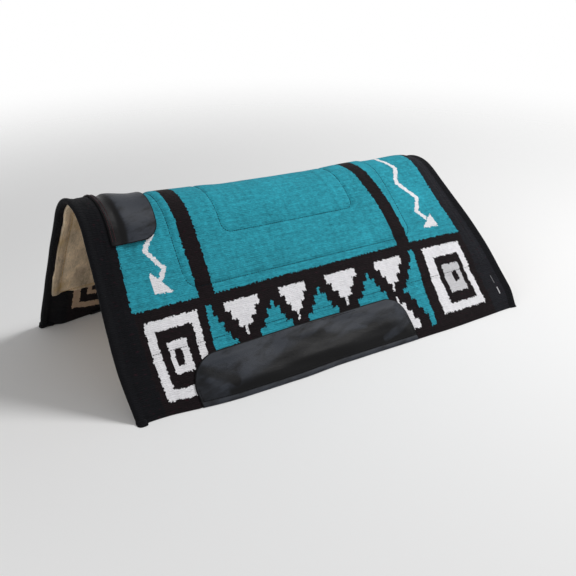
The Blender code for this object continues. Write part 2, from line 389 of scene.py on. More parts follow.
class Swelling:
    """How far the stuffed panels swell and the wool lies uneven, kept on a grid of the bench."""

    def keep(self, alongs, acrosses, heights):
        self.start = np.array([alongs[0], acrosses[0]])
        self.step = np.array([alongs[1] - alongs[0], acrosses[1] - acrosses[0]])
        self.heights = np.pad(heights, 2, mode="edge")

    def at(self, along, across):
        """Height at bench points, smoothed over four places each way."""
        place = (np.stack([along, across]) - self.start[:, None]) / self.step[:, None]
        limit = np.array(self.heights.shape)[:, None] - 5.0
        place = np.clip(place, 0.0, limit)
        whole = np.minimum(np.floor(place), limit - 1.0).astype(int)
        part = place - whole
        weights = spline_weights(part)
        found = np.zeros(len(along))
        for column in range(4):
            for row in range(4):
                height = self.heights[whole[0] + 1 + column, whole[1] + 1 + row]
                found += weights[column, 0] * weights[row, 1] * height
        return found


swelling = Swelling()


def flat_relief(shape, layers, along, across):
    """Height of the blanket's face before it swells."""
    felt = past_felt(shape, layers, along, across)
    quilt = past_quilt(shape, layers, along, across)
    lining = past_lining(shape, layers, along, across)
    wide = 2.0 * layers.seam_width
    depth = layers.felt_rise * ease(felt / wide) + layers.edge_fall * ease(lining / wide)
    depth += layers.seam_depth * np.exp(-((felt / layers.seam_width) ** 2))
    depth += 0.7 * layers.seam_depth * np.exp(-((quilt / layers.seam_width) ** 2))
    depth += 0.3 * layers.seam_depth * np.exp(-((lining / (0.7 * layers.seam_width)) ** 2))
    return -depth


def relief(shape, layers, along, across):
    """Height of the blanket's face over the drawn section."""
    return flat_relief(shape, layers, along, across) + swelling.at(along, across)


# Meshes


def steps(low, high, cell, marks=(), close=0.0, fine=0.0):
    """Places from low to high, no further apart than the cell, and finer close to the marks."""
    count = max(1, math.ceil((high - low) / cell))
    places = [low + (high - low) * k / count for k in range(count + 1)]
    for mark in marks:
        reach = math.ceil(close / fine)
        inner = [mark + fine * k for k in range(-reach, reach + 1)]
        places = [p for p in places if abs(p - mark) > close + fine / 2.0 or p in (low, high)]
        places += [p for p in inner if low + fine / 2.0 < p < high - fine / 2.0]
    return np.array(sorted(places))


def round_off(form, geom, radius, segments, affect="EDGES"):
    """Rounds edges or corners off."""
    bmesh.ops.bevel(
        form,
        geom=geom,
        offset=radius,
        offset_type="OFFSET",
        segments=segments,
        profile=0.5,
        affect=affect,
        clamp_overlap=affect == "EDGES",
        material=-1,
    )


def place_verts(form, places):
    for vert, place in zip(form.verts, places):
        vert.co = place


def grid_slab(columns, rows, outer, inner, rims, radius):
    """A closed sheet on the bench. outer and inner give the places of arrays of columns and rows.
    The rims named are rounded off: "front", "rear", "first" and "last" row."""
    form = bmesh.new()
    bmesh.ops.create_grid(form, x_segments=columns - 1, y_segments=rows - 1, size=1.0)
    made = bmesh.ops.extrude_face_region(form, geom=form.faces[:])["geom"]
    for vert in made:
        if isinstance(vert, bmesh.types.BMVert):
            vert.co.z = 1.0
    spots = np.array([vert.co for vert in form.verts])
    column = np.rint((spots[:, 0] + 1.0) / 2.0 * (columns - 1)).astype(int)
    row = np.rint((spots[:, 1] + 1.0) / 2.0 * (rows - 1)).astype(int)
    for vert, c, r in zip(form.verts, column, row):
        vert.co = (c, r, vert.co.z)
    sides = {"front": (0, 0), "rear": (0, columns - 1), "first": (1, 0), "last": (1, rows - 1)}
    edges = [
        edge
        for edge in form.edges
        if edge.verts[0].co.z == edge.verts[1].co.z
        and any(all(vert.co[sides[rim][0]] == sides[rim][1] for vert in edge.verts) for rim in rims)
    ]
    for face in form.faces:
        face.material_index = 1 if all(vert.co.z == 0.0 for vert in face.verts) else 0
    top = spots[:, 2] > 0.5
    bench = np.where(top[:, None], outer(column, row), inner(column, row))
    place_verts(form, bench)
    if edges:
        round_off(form, edges, radius, 3)
    bmesh.ops.remove_doubles(form, verts=form.verts, dist=TINY)
    return form


def patch(outline, cell, rim):
    """A flat leather on the bench with a narrow darker rim, its black edge and painted shade of the
    shadow line along it, cut into cells. The outline gives each corner's place along and across,
    and its radius."""
    form = bmesh.new()
    verts = [form.verts.new((along, across, 0.0)) for along, across, _ in outline]
    form.faces.new(verts)
    for vert, (_, _, radius) in zip(verts, outline):
        round_off(form, [vert], radius, 12, "VERTICES")
    bmesh.ops.inset_region(
        form, faces=form.faces[:], thickness=rim, use_boundary=True, use_even_offset=True
    )
    for edge in form.edges:
        if edge.is_boundary:
            edge.link_faces[0].material_index = 1
    for axis in (0, 1):
        spots = [place[axis] for place in outline]
        for cut in steps(min(spots), max(spots), cell)[1:-1]:
            normal = Vector((axis == 0, axis == 1, 0.0))
            whole = form.verts[:] + form.edges[:] + form.faces[:]
            bmesh.ops.bisect_plane(
                form, geom=whole, dist=TINY, plane_co=normal * cut, plane_no=normal
            )
    return form


def make_piece(shape, form, name, materials):
    """Maps the bench form, bends it over the section and makes it an object."""
    sheet_map = form.loops.layers.uv.new(BENCH_MAP)
    for face in form.faces:
        face.smooth = True
        for loop in face.loops:
            loop[sheet_map].uv = (loop.vert.co.x, abs(loop.vert.co.y))
    place_verts(form, bend_over(shape, [vert.co for vert in form.verts]))
    bmesh.ops.recalc_face_normals(form, faces=form.faces)
    mesh = bpy.data.meshes.new(name)
    form.to_mesh(mesh)
    form.free()
    for material in materials:
        mesh.materials.append(material)
    mesh.set_sharp_from_angle(angle=SHARP)
    return add_object(name, mesh)


def add_object(name, data):
    """Makes an object of a mesh, a lamp or a camera and puts it in the scene."""
    thing = bpy.data.objects.new(name, data)
    bpy.context.scene.collection.objects.link(thing)
    return thing


# Each long layer is two pieces: the near side with the crown, and the off side
HALVES = (("near_and_crown", -1), ("off", 1))
SIDES = (("near", -1), ("off", 1))
FLANKS = {-1: "near_side", 1: "off_side"}


def across_fold(shape, piece, side):
    """Bakes a piece's placing into its mesh. The middle and direction of the fold on one side are
    worked out but not used. side is -1 for near and 1 for off.
    """
    middle, down = fold_line(shape, side)
    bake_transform(piece)


def half_rows(shape, cell, side, bottom, marks=(), close=0.0, fine=0.0):
    """Places across for the piece with the near side and the crown, or for the off piece."""
    if side > 0:
        return steps(shape.join_at, bottom, cell, marks, close, fine)
    below = steps(0.0, bottom, cell, marks, close, fine)
    above = steps(0.0, shape.join_at, cell)
    return np.concatenate([-below[::-1], above[1:]])


def hem_wave(along):
    """How far the cut hem wanders up from the floor."""
    return 0.0011 * (1.0 + rough(14.0 * along, 2.7, 0.4))


# Shader wiring


def maths(operation, swapped=False):
    """A method that adds a Math node to the socket it is called on."""

    def method(wire, *others):
        values = (*others, wire) if swapped else (wire, *others)
        return wire.nodes.out(wire.nodes.add("Math", enumerate(values), operation=operation))

    return method


class Wire:
    """One socket of a material. Python's arithmetic on it adds Math nodes."""

    def __init__(self, nodes, socket):
        self.nodes = nodes
        self.socket = socket

    __add__ = __radd__ = maths("ADD")
    __sub__ = maths("SUBTRACT")
    __rsub__ = maths("SUBTRACT", swapped=True)
    __mul__ = __rmul__ = __and__ = maths("MULTIPLY")
    __truediv__ = maths("DIVIDE")
    __lt__ = maths("LESS_THAN")
    __gt__ = maths("GREATER_THAN")
    __abs__ = maths("ABSOLUTE")
    __or__ = most = maths("MAXIMUM")
    least = maths("MINIMUM")
    floor = maths("FLOOR")
    sine = maths("SINE")

    def kept(self, low, high):
        return self.most(low).least(high)


class Nodes:
    """A node tree while it is wired."""

    def __init__(self, tree):
        self.tree = tree

    def add(self, kind, values=(), **options):
        """Adds a node: its options are set first, then its sockets get values or links."""
        node = self.tree.nodes.new("ShaderNode" + kind)
        for title, option in options.items():
            setattr(node, title, option)
        for socket, value in dict(values).items():
            self.feed(node.inputs[socket], value)
        return node

    def feed(self, socket, value):
        if isinstance(value, Wire):
            self.tree.links.new(value.socket, socket)
        else:
            socket.default_value = value

    def out(self, node, socket=0):
        return Wire(self, node.outputs[socket])

    def place(self):
        """Place on the piece itself, in metres."""
        return self.out(self.add("TexCoord"), "Object")

    def ramp(self, value, start, end):
        """Eases from 0 at the start to 1 at the end."""
        sockets = {"Value": value, "From Min": start, "From Max": end}
        return self.out(self.add("MapRange", sockets, interpolation_type="SMOOTHSTEP"))


class Finish(Nodes):
    """One material while it is wired."""

    def __init__(self, name, roughness, sheen=0.0, shine=0.5):
        self.material = bpy.data.materials.new(name)
        self.material.use_nodes = True
        super().__init__(self.material.node_tree)
        self.shader = self.tree.nodes["Principled BSDF"]
        self.set("Roughness", roughness)
        self.set("Sheen Weight", sheen)
        self.set("Specular IOR Level", shine)

    def set(self, title, value):
        self.feed(self.shader.inputs[title], value)

    def bench(self):
        """Along, across and both together, read from the piece's own map."""
        place = self.out(self.add("UVMap", uv_map=BENCH_MAP))
        split = self.add("SeparateXYZ", {0: place})
        return self.out(split, 0), self.out(split, 1), place

    def vector(self, x, y, z=0.0):
        return self.out(self.add("CombineXYZ", {0: x, 1: y, 2: z}))

    def stretched(self, vector, scale):
        return self.out(self.add("VectorMath", {0: vector, 1: scale}, operation="MULTIPLY"))

    def noise(self, vector, scale, detail=2.0, roughness=0.5):
        """Noise with about so many grains in a metre."""
        sockets = {"Vector": vector, "Scale": scale, "Detail": detail, "Roughness": roughness}
        return self.out(self.add("TexNoise", sockets))

    def long_noise(self, vector, along, across, scale, detail=2.0, roughness=0.5):
        """Noise drawn out along the pad where along is below 1, or across it where across is."""
        return self.noise(self.stretched(vector, (along, across, 1.0)), scale, detail, roughness)

    def grain(self, vector, scale):
        node = self.add("TexVoronoi", {"Vector": vector, "Scale": scale}, feature="F1")
        return self.out(node, "Distance")

    def dice(self, *numbers):
        """A random number from 0 to 1 that stays the same for the same whole numbers."""
        sockets = {0: self.vector(*numbers)}
        return self.out(self.add("TexWhiteNoise", sockets, noise_dimensions="3D"))

    def mix(self, factor, *tints):
        first, second = (tint if isinstance(tint, Wire) else (*tint, 1.0) for tint in tints)
        return self.out(self.add("Mix", {0: factor, 6: first, 7: second}, data_type="RGBA"), 2)

    def shade(self, tint, amount):
        """A colour made lighter or darker, where an amount of 1 leaves it alone."""
        tint = tint if isinstance(tint, Wire) else tint[:3]
        return self.stretched(tint, self.vector(amount, amount, amount))

    def bump(self, height, distance, strength):
        sockets = {"Height": height, "Distance": distance, "Strength": strength}
        self.set("Normal", self.out(self.add("Bump", sockets)))


def mottled(*parts):
    """1 with noises laid over it, each as strong as the amount beside it."""
    total = 1.0
    for noise_wire, amount in parts:
        total = total + (noise_wire - 0.5) * amount
    return total


# Woven pattern, in metres on the bench. Nearer is the distance from the nearer end.

# One pass of yarn along the pad and one rib across it
PICK = 0.0017
RIB = 0.0034
# The border at both ends, the bars across the pad, and the band of figures by the hem
BORDER = 0.0455
BAR = (0.1700, 0.2012)
FIELD_BOTTOM = 0.2090
BAND_TOP = 0.235
BAND_MIDDLE = 0.3012

# Frames: middle and half size of the outer ring, its hollow, the inner ring and its core
FRONT_FRAME = (
    ((0.1061, 0.2975), (0.0504, 0.0680)),
    ((0.1072, 0.2985), (0.0350, 0.0502)),
    ((0.1063, 0.2980), (0.0186, 0.0278)),
    ((0.1037, 0.2995), (0.0072, 0.0145)),
)
REAR_FRAME = (
    ((0.7072, 0.2962), (0.0466, 0.0672)),
    ((0.7104, 0.3005), (0.0314, 0.0480)),
    ((0.7112, 0.3005), (0.0202, 0.0291)),
    ((0.7160, 0.2990), (0.0062, 0.0105)),
)

# White figures: middle and width. Steps: from the band's middle line on, so much wider each side
WHITE_FIGURES = ((0.2443, 1.0), (0.3512, 0.83), (0.4588, 1.0), (0.5710, 0.94))
WHITE_STEPS = ((0.0056, 0.0026), (0.0221, 0.0110), (0.0376, 0.0100), (0.0540, 0.0100))
WHITE_REACH = 0.071

# Teal figures and half figures: middles. Steps: up to there, so much wider each side
TEAL_FIGURES = (0.3025, 0.4034, 0.5160)
TEAL_STEPS = ((0.009, 0.0125), (0.0225, 0.0080), (0.039, 0.0101), (0.053, 0.0031))
HALF_START = 0.1745
HALF_STEPS = ((0.004, 0.0110), (0.019, 0.0090), (0.038, 0.0090), (0.052, 0.0070), (0.075, 0.0115))

# Arrows: half width of the shaft, its bends, and the corners of the head, from the nearer end
ARROW_HALF = 0.0042
FRONT_ARROW = ((0.107, -0.004), (0.098, 0.031), (0.128, 0.072))
FRONT_ARROW += ((0.099, 0.110), (0.1235, 0.145), (0.1115, 0.164))
FRONT_HEAD = ((0.0955, 0.1475), (0.0930, 0.1860), (0.1295, 0.1885))
REAR_ARROW = ((0.119, -0.004), (0.1042, 0.040), (0.1242, 0.076))
REAR_ARROW += ((0.0965, 0.116), (0.1148, 0.147), (0.103, 0.164))
REAR_HEAD = ((0.0875, 0.1574), (0.0830, 0.1870), (0.1208, 0.1858))

# Where the weave starts and stops to lean, and by how much: in the band, and near the ridge
LEAN = ((0.05, 0.17, 0.07), (0.158, 0.174, 0.04), (0.50, 0.57, 0.045), (0.630, 0.652, -0.037))
LEAN += ((0.655, 0.676, -0.060), (0.69, 0.75, -0.030))
FIRST_LEAN = 0.02
TOP_LEAN = ((0.50, 0.60, 0.14), (0.64, 0.70, -0.14), (0.70, 0.77, -0.07))
TOP_LEAN_FROM = 0.12
BORDER_LEAN, BORDER_LEAN_FROM = 0.055, 0.20

# How far the rows of figures slope, over the whole length and once more at the rear
SLOPE, SLOPE_START = 0.0095, 0.0045
REAR_SLOPE, REAR_SLOPE_FROM = 0.035, 0.645

# The off half toward its hem: how far its figures lie back, and how much higher, less at the front
OFF_TOWARD_HEM, OFF_BACK = (0.12, 0.28), 0.0075
OFF_HIGHER, OFF_LESS, OFF_LESS_TO = 0.0225, 0.0140, (0.05, 0.12)

# How far single yarns stray over the edge of a colour
TOOTH = 0.0022
COMB = 0.0036
DRIFT = 0.0022
TOOTH_RUN = 0.05

# Stray white yarns in the rear border: middle and half size
STRAYS = (((0.7845, 0.3510), (0.0011, 0.0070)), ((0.7838, 0.3270), (0.0006, 0.0080)))

# How far down the wear leathers are painted paler, for wear and for painted sheen from above: at
# the front, and from, to and by how much it changes
SHEEN_AND_WEAR_TO = 0.340
SHEEN_AND_WEAR_STEPS = ((0.115, 0.150, 0.020), (0.190, 0.335, -0.035), (0.360, 0.450, 0.020))

# The front of a wear leather's top edge: how much lower it starts, and how far back it's level
FRONT_RAISED, FRONT_RUN, TOP_RUN = 0.0044, 0.038, 0.240

# Streaks along the wear leathers' wrinkles, painted sheen and painted shade as well as wear: from,
# to, half width, and how much paler they are
WRINKLE_SHEEN_AND_WEAR = (
    ((0.1220, 0.331), (0.172, 0.360), 0.012, -0.85),
    ((0.3360, 0.345), (0.368, 0.327), 0.010, -0.60),
    ((0.3350, 0.361), (0.480, 0.349), 0.009, -0.60),
    ((0.3600, 0.346), (0.520, 0.334), 0.022, -0.38),
    ((0.3750, 0.351), (0.437, 0.336), 0.007, 0.60),
    ((0.4370, 0.336), (0.461, 0.346), 0.006, 0.50),
    ((0.4900, 0.371), (0.553, 0.355), 0.008, 0.50),
    ((0.1100, 0.369), (0.140, 0.376), 0.018, 0.50),
)


def inside(place, middle, half):
    """Mask of a box round its middle."""
    return (abs(place[0] - middle[0]) < half[0]) & (abs(place[1] - middle[1]) < half[1])


def from_line(place, start, end):
    """Squared distance from one straight stretch."""
    run = (end[0] - start[0], end[1] - start[1])
    size = run[0] ** 2 + run[1] ** 2
    over = place[0] - start[0]
    down = place[1] - start[1]
    share = ((over * run[0] + down * run[1]) / size).kept(0.0, 1.0)
    off_line = over - share * run[0]
    off_side = down - share * run[1]
    return off_line * off_line + off_side * off_side


def in_triangle(place, corners):
    """Mask of a triangle whose corners run clockwise as along and across are drawn."""
    edges = []
    for start, end in zip(corners, corners[1:] + corners[:1]):
        turn = (place[0] - start[0]) * (end[1] - start[1])
        edges.append(turn - (place[1] - start[1]) * (end[0] - start[0]) > 0.0)
    return reduce(and_, edges)


def stepped(reach, steps, beyond):
    """Half width of a stepped figure, as far as a place is from its middle line."""
    return sum((wide * (reach > at if beyond else reach < at) for at, wide in steps), 0.0)


def rings(spot, frame):
    """Masks of a frame's two white rings."""
    outer, hollow, inner, core = (inside(spot, middle, half) for middle, half in frame)
    return outer & (1.0 - hollow), inner & (1.0 - core)


def yarn_places(wool, along, across, place, comb, off):
    """Where the yarn that shows at a place belongs in the pattern, along and across."""
    pick = (along / PICK).floor()
    rib = (across / RIB).floor()
    tooth = wool.dice(rib, (along / TOOTH_RUN).floor(), 7.0)
    drift = (wool.noise(place, 60.0) - 0.5) * DRIFT
    below = (across - BAND_TOP).most(0.0)
    above = (TOP_LEAN_FROM - across).most(0.0)
    lean, top_lean = (
        sum((step * wool.ramp(along, start, end) for start, end, step in table), first)
        for table, first in ((LEAN, FIRST_LEAN), (TOP_LEAN, 0.0))
    )
    leant = (pick + 0.5) * PICK + below * lean + above * top_lean
    yarn_along = leant + (tooth - 0.5) * TOOTH + drift
    yarn_across = across + SLOPE * along - SLOPE_START + (comb - 0.5) * COMB + drift
    yarn_across = yarn_across - (along - REAR_SLOPE_FROM).most(0.0) * REAR_SLOPE
    if off:
        toward_hem = wool.ramp(across, *OFF_TOWARD_HEM)
        yarn_along = yarn_along - toward_hem * OFF_BACK
        higher = OFF_HIGHER - OFF_LESS * wool.ramp(along, *OFF_LESS_TO)
        yarn_across = yarn_across + toward_hem * higher
    return yarn_along, yarn_across


def woven_tone(wool, colours, white, light, comb, along, across, place, off):
    """Colour of the tapestry, with its border, bars, frames, figures and arrows."""
    pad_length = bpy.context.scene.pad_shape.pad_length
    spot = yarn_places(wool, along, across, place, comb, off)
    yarn_along, yarn_across = spot
    nearer = yarn_along.least(pad_length - yarn_along)

    border = nearer < (BORDER_LEAN_FROM - across).most(0.0) * BORDER_LEAN + BORDER
    warm = wool.long_noise(place, 0.45, 1.0, 230.0, 1.0)
    # The end border is painted lighter toward the rear: painted light falling from the rear.
    rear_lit_black = wool.shade(colours.cold_black, 1.0 + 1.5 * wool.ramp(along, 0.66, 0.80))
    ground = wool.mix(border, colours.warm_black, rear_lit_black)
    ground = wool.mix(wool.ramp(warm, 0.60, 0.78) * 0.55, ground, colours.red_fleck)

    bar = (nearer > BAR[0]) & (nearer < BAR[1])
    teal = (1.0 - border) & (yarn_across < FIELD_BOTTOM) & (1.0 - bar)
    reach = abs(yarn_across - BAND_MIDDLE)
    wide = stepped(reach, TEAL_STEPS, False)
    diamonds = [abs(yarn_along - middle) < wide for middle in TEAL_FIGURES]
    past_start = nearer - HALF_START
    diamonds.append((past_start > 0.0) & (past_start < stepped(reach, HALF_STEPS, False)))
    teal = teal | (reduce(or_, diamonds) & (yarn_across > FIELD_BOTTOM))

    half = stepped(reach, WHITE_STEPS, True)
    whites = [abs(yarn_along - middle) < half * share for middle, share in WHITE_FIGURES]
    whites = [reduce(or_, whites) & (reach < WHITE_REACH), *rings(spot, FRONT_FRAME)]
    outer_ring, dull_ring = rings(spot, REAR_FRAME)
    whites += [outer_ring, dull_ring]
    from_rear = (pad_length - yarn_along, yarn_across)
    for at, arrow, head in ((spot, FRONT_ARROW, FRONT_HEAD), (from_rear, REAR_ARROW, REAR_HEAD)):
        whites.append(in_triangle(at, head))
        whites += [from_line(at, *bends) < ARROW_HALF**2 for bends in zip(arrow, arrow[1:])]

    tone = wool.mix(teal, wool.shade(ground, light), wool.shade(colours.teal, light))
    bright = (0.72 + light * 0.28) * (1.0 - dull_ring * 0.27 - comb * 0.05)
    tone = wool.mix(reduce(or_, whites), tone, wool.shade(white, bright))
    stray, faint = (inside((along, across), *box) for box in STRAYS)
    return wool.mix((stray | faint * 0.4) * 0.55, tone, white)


def woven_wool(colours, name, white, plain=False, off=False):
    """Tapestry-woven wool: picks run across the pad, over ribs that run along it. The off half is
    woven a little further back and higher toward its hem."""
    wool = Finish(name, 0.95, sheen=0.03, shine=0.12)
    along, across, place = wool.bench()
    dash = wool.long_noise(place, 0.30, 1.0, 640.0, 2.0, 0.6)
    speck = wool.noise(place, 1300.0, 2.0, 0.6)
    blotch = wool.long_noise(place, 0.7, 1.0, 150.0)
    streak = wool.long_noise(place, 0.10, 1.0, 210.0, 3.0, 0.6)
    crossing = wool.long_noise(place, 1.0, 0.16, 90.0)
    cloudy = wool.noise(place, 13.0, 3.0)
    ribbing = ((across / RIB + (blotch - 0.5) * 1.6) * (2.0 * math.pi)).sine()
    light = mottled((dash, 1.05), (speck, 0.85), (blotch, 0.75), (cloudy, 0.38), (streak, 0.75))
    # The ribbing in the tone is painted shade between the ribs.
    light = light + (crossing - 0.5) * 0.45 + ribbing * 0.045
    if plain:
        tone = wool.shade(colours.cold_black, light)
    else:
        comb = wool.dice((along / PICK).floor(), 3.0, 0.0)
        tone = woven_tone(wool, colours, white, light, comb, along, across, place, off)
    wool.set("Base Color", tone)
    between = abs(((along / PICK) * math.pi).sine())
    height = ribbing * 0.30 + dash * 1.1 + speck * 0.5 + between * 0.15 + blotch * 1.4 + streak
    wool.bump(height, 0.0009, 0.9)
    return wool.material


def tan_felt(colours):
    """Soft brushed lining, a little stained."""
    felt = Finish("Tan lining", 0.96, sheen=0.20, shine=0.2)
    _, _, place = felt.bench()
    fibre = felt.long_noise(place, 1.0, 0.35, 420.0, 4.0, 0.75)
    cloud = felt.long_noise(place, 1.0, 0.45, 30.0, 4.0, 0.65)
    stain = felt.ramp(felt.noise(place, 11.0, 3.0), 0.50, 0.68)
    grime = felt.ramp(felt.long_noise(place, 1.3, 0.8, 17.0, 3.0), 0.52, 0.72)
    tone = felt.shade(colours.tan, mottled((fibre, 1.1), (cloud, 2.4)))
    tone = felt.mix(stain * 0.75, tone, colours.stain)
    felt.set("Base Color", felt.mix(grime * 0.60, tone, colours.grime))
    felt.bump(fibre + cloud * 2.2, 0.0016, 0.9)
    return felt.material


def grey_felt(colours):
    """Pressed felt of the filler."""
    felt = Finish("Grey felt", 0.97, shine=0.2)
    fleck = felt.noise(felt.place(), 700.0, 3.0, 0.7)
    felt.set("Base Color", felt.shade(colours.felt, 0.7 + fleck * 0.6))
    felt.bump(fleck, 0.0005, 0.6)
    return felt.material


def panel_sheen_and_shade(hide, leathers, along, across, cloud):
    """The withers leather is painted paler behind its gathered front: painted sheen on the swollen
    panel, and painted shade on the gathered front.
    """
    past = along - leathers.withers_start
    return hide.ramp(past + (cloud - 0.5) * 0.012, 0.0262, 0.0332)


def sheen_and_wear_flap(hide, leathers, along, across, cloud):
    """The wear leathers are painted paler down to a slanting line, along their wrinkles and round
    the hem, for wear and for painted sheen, and stay dark at their top edge, painted shade of the
    groove there."""
    shifts = (shift * hide.ramp(along, start, end) for start, end, shift in SHEEN_AND_WEAR_STEPS)
    below = across - sum(shifts, SHEEN_AND_WEAR_TO) + (cloud - 0.5) * 0.040
    pale = 1.0 - hide.ramp(below, -0.012, 0.016)
    spot = (along + (cloud - 0.5) * 0.020, across + (cloud - 0.5) * 0.014)
    for start, end, half, paler in WRINKLE_SHEEN_AND_WEAR:
        pale = pale + (1.0 - hide.ramp(from_line(spot, start, end), 0.0, half**2)) * paler
    past_seam = across - leathers.wear_seam
    pale = pale.most(0.0).most(hide.ramp(past_seam, 0.0010, 0.0022) * 0.8)
    past_start = along - leathers.wear_start
    raised = FRONT_RAISED * (1.0 - hide.ramp(past_start, FRONT_RUN, TOP_RUN))
    # A narrow band along the top edge stays dark: painted shade of the groove there.
    return pale * hide.ramp(across - (leathers.wear_top + raised), 0.0014, 0.0030)


def black_leather(colours, name, sheen_and_wear):
    """Supple black leather: fine pebbled grain, soft creases, paler where worn and where sheen is
    painted.
    """
    hide = Finish(name, 0.40, shine=0.13)
    along, across, place = hide.bench()
    pebble = hide.grain(place, 1150.0)
    pore = hide.noise(place, 2600.0)
    crease = hide.long_noise(place, 1.0, 2.6, 34.0, 5.0, 0.65)
    cloud = hide.long_noise(place, 0.55, 1.0, 21.0, 3.0)
    pale = sheen_and_wear(hide, bpy.context.scene.pad_leathers, along, across, cloud)
    slanted = hide.vector(along * 0.5 - across * 0.4, across * 1.7 + along * 0.55)
    slant = hide.noise(slanted, 34.0, 3.0, 0.6)
    patchy = mottled((crease, 1.6), (cloud, 1.6), (slant, 4.0)).most(0.0)
    hide.set("Base Color", hide.mix(pale * patchy, colours.leather, colours.sheen_and_wear_leather))
    hide.set("Roughness", 0.34 + crease * 0.16 + pebble * 0.10)
    hide.bump(pebble * 0.5 + pore * 0.15 + crease * 2.2, 0.0006, 0.55)
    return hide.material


def shaded_edge(colours):
    """Cut edge of a leather, darker than its face: its own black edge and painted shade of the
    shadow line along it.
    """
    edge = Finish("Leather edge", 0.7, shine=0.1)
    fray = edge.noise(edge.place(), 900.0)
    edge.set("Base Color", edge.shade(colours.leather, 0.3 + fray * 0.6))
    return edge.material


def thread(name, tint):
    """Twisted sewing thread."""
    yarn = Finish(name, 0.80, shine=0.10)
    twist = yarn.noise(yarn.place(), 1500.0)
    yarn.set("Base Color", yarn.shade(tint, 0.6 + twist * 0.8))
    return yarn.material


# Stuffing

# How Blender's cloth swells the sewn panels
CLOTH = {
    "quality": 6,
    "mass": 0.4,
    "tension_stiffness": 30.0,
    "compression_stiffness": 30.0,
    "shear_stiffness": 15.0,
    "bending_stiffness": 4.0,
    "vertex_group_mass": "sewn",
    "use_pressure": True,
    "uniform_pressure_force": 4.0,
    "vertex_group_pressure": "filled",
}
CLOTH_FRAMES = 20
CLOTH_GRID = (103, 99)


def swell_panels(shape, layers, along, across, grid):
    """Runs Blender's cloth on the sewn blanket under light pressure. Returns how far it rises."""
    sewn_height = flat_relief(shape, layers, along, across)
    rest = bend_over(shape, np.stack([along, across, sewn_height], 1))
    lifted = bend_over(shape, np.stack([along, across, sewn_height + 0.001], 1))
    normals = (lifted - rest) / np.linalg.norm(lifted - rest, axis=1)[:, None]
    form = bmesh.new()
    columns, rows = grid
    bmesh.ops.create_grid(form, x_segments=columns - 1, y_segments=rows - 1, size=1.0)
    order = [
        round((vert.co.x + 1.0) / 2.0 * (columns - 1)) * rows
        + round((vert.co.y + 1.0) / 2.0 * (rows - 1))
        for vert in form.verts
    ]
    place_verts(form, rest[order])
    mesh = bpy.data.meshes.new("stuffing")
    form.to_mesh(mesh)
    form.free()
    sheet = add_object("stuffing", mesh)

    felt = past_felt(shape, layers, along, across)
    seams = [felt, past_quilt(shape, layers, along, across)]
    seams += [past_lining(shape, layers, along, across)]
    seams += [along, shape.pad_length - along, shape.half_width - np.abs(across)]
    nearest = np.min(np.abs(seams), axis=0)
    held = 1.0 - ease((nearest - layers.seam_width) / (2.0 * layers.seam_width))
    filled = 0.25 + 0.75 * ease(-felt / layers.felt_corner)
    for title, weights in (("sewn", held), ("filled", filled)):
        group = sheet.vertex_groups.new(name=title)
        for index, place in enumerate(order):
            group.add([index], float(weights[place]), "REPLACE")
    cloth = sheet.modifiers.new("Cloth", "CLOTH")
    for title, value in CLOTH.items():
        setattr(cloth.settings, title, value)
    cloth.settings.effector_weights.gravity = 0.0
    cloth.collision_settings.use_collision = False
    cloth.point_cache.frame_start = 1
    cloth.point_cache.frame_end = CLOTH_FRAMES
    scene = bpy.context.scene
    for number in range(1, CLOTH_FRAMES + 1):
        scene.frame_set(number)
    evaluated = sheet.evaluated_get(bpy.context.evaluated_depsgraph_get())
    moved = np.zeros(len(order) * 3, np.float32)
    evaluated.data.vertices.foreach_get("co", moved)
    placed = np.zeros((len(order), 3))
    placed[order] = moved.reshape(-1, 3)
    rise = ((placed - rest) * normals).sum(1)
    bpy.data.objects.remove(sheet)
    bpy.data.meshes.remove(mesh)
    scene.frame_set(1)
    print(f"stuffing: most {rise.max() * 1000:.2f} mm, mean {rise.mean() * 1000:.2f} mm")
    return layers.swell_limit * np.tanh(rise / layers.swell_limit)


# Pieces


class SADDLEPAD_OT_stuffing(Operator):
    """Swell the sewn panels with a cloth simulation and lay the wool a little uneven"""

    bl_idname = "saddle_pad.stuffing"
    bl_label = "Stuffing"

    def execute(self, context):
        shape, layers, _, _ = settings(context)
        alongs = np.linspace(0.0, shape.pad_length, CLOTH_GRID[0])
        acrosses = np.linspace(-shape.half_width, shape.half_width, CLOTH_GRID[1])
        along, across = (grid.ravel() for grid in np.meshgrid(alongs, acrosses, indexing="ij"))
        heights = rough(11.0 * along, 11.0 * across, 5.1)
        heights += 0.45 * rough(31.0 * along, 27.0 * across, 1.3)
        heights *= layers.lump
        heights += swell_panels(shape, layers, along, across, CLOTH_GRID)
        swelling.keep(alongs, acrosses, heights.reshape(CLOTH_GRID))
        return {"FINISHED"}


def seam_marks(shape, layers):
    """Places along of the seams that run from hem to hem."""
    marks = [layers.lining_inset, layers.felt_start, layers.quilt_start]
    return marks + [shape.pad_length - mark for mark in marks]


def hem_rise(layers, side):
    """How much higher than on the near side the lining is sewn."""
    return layers.off_rise if side > 0 else 0.0


def cross_marks(shape, layers, side):
    """Places across of the seams that run along the pad."""
    return [shape.fold_at, layers.felt_bottom, layers.lining_bottom - hem_rise(layers, side)]


def hem_row(side):
    """The row of a half's grid that lies at its hem."""
    return "first" if side < 0 else "last"


# Over how far the blanket is pulled up at its hem, and steps in under a wear leather
HEM_PULL = 0.02
LEATHER_STEP = 0.002


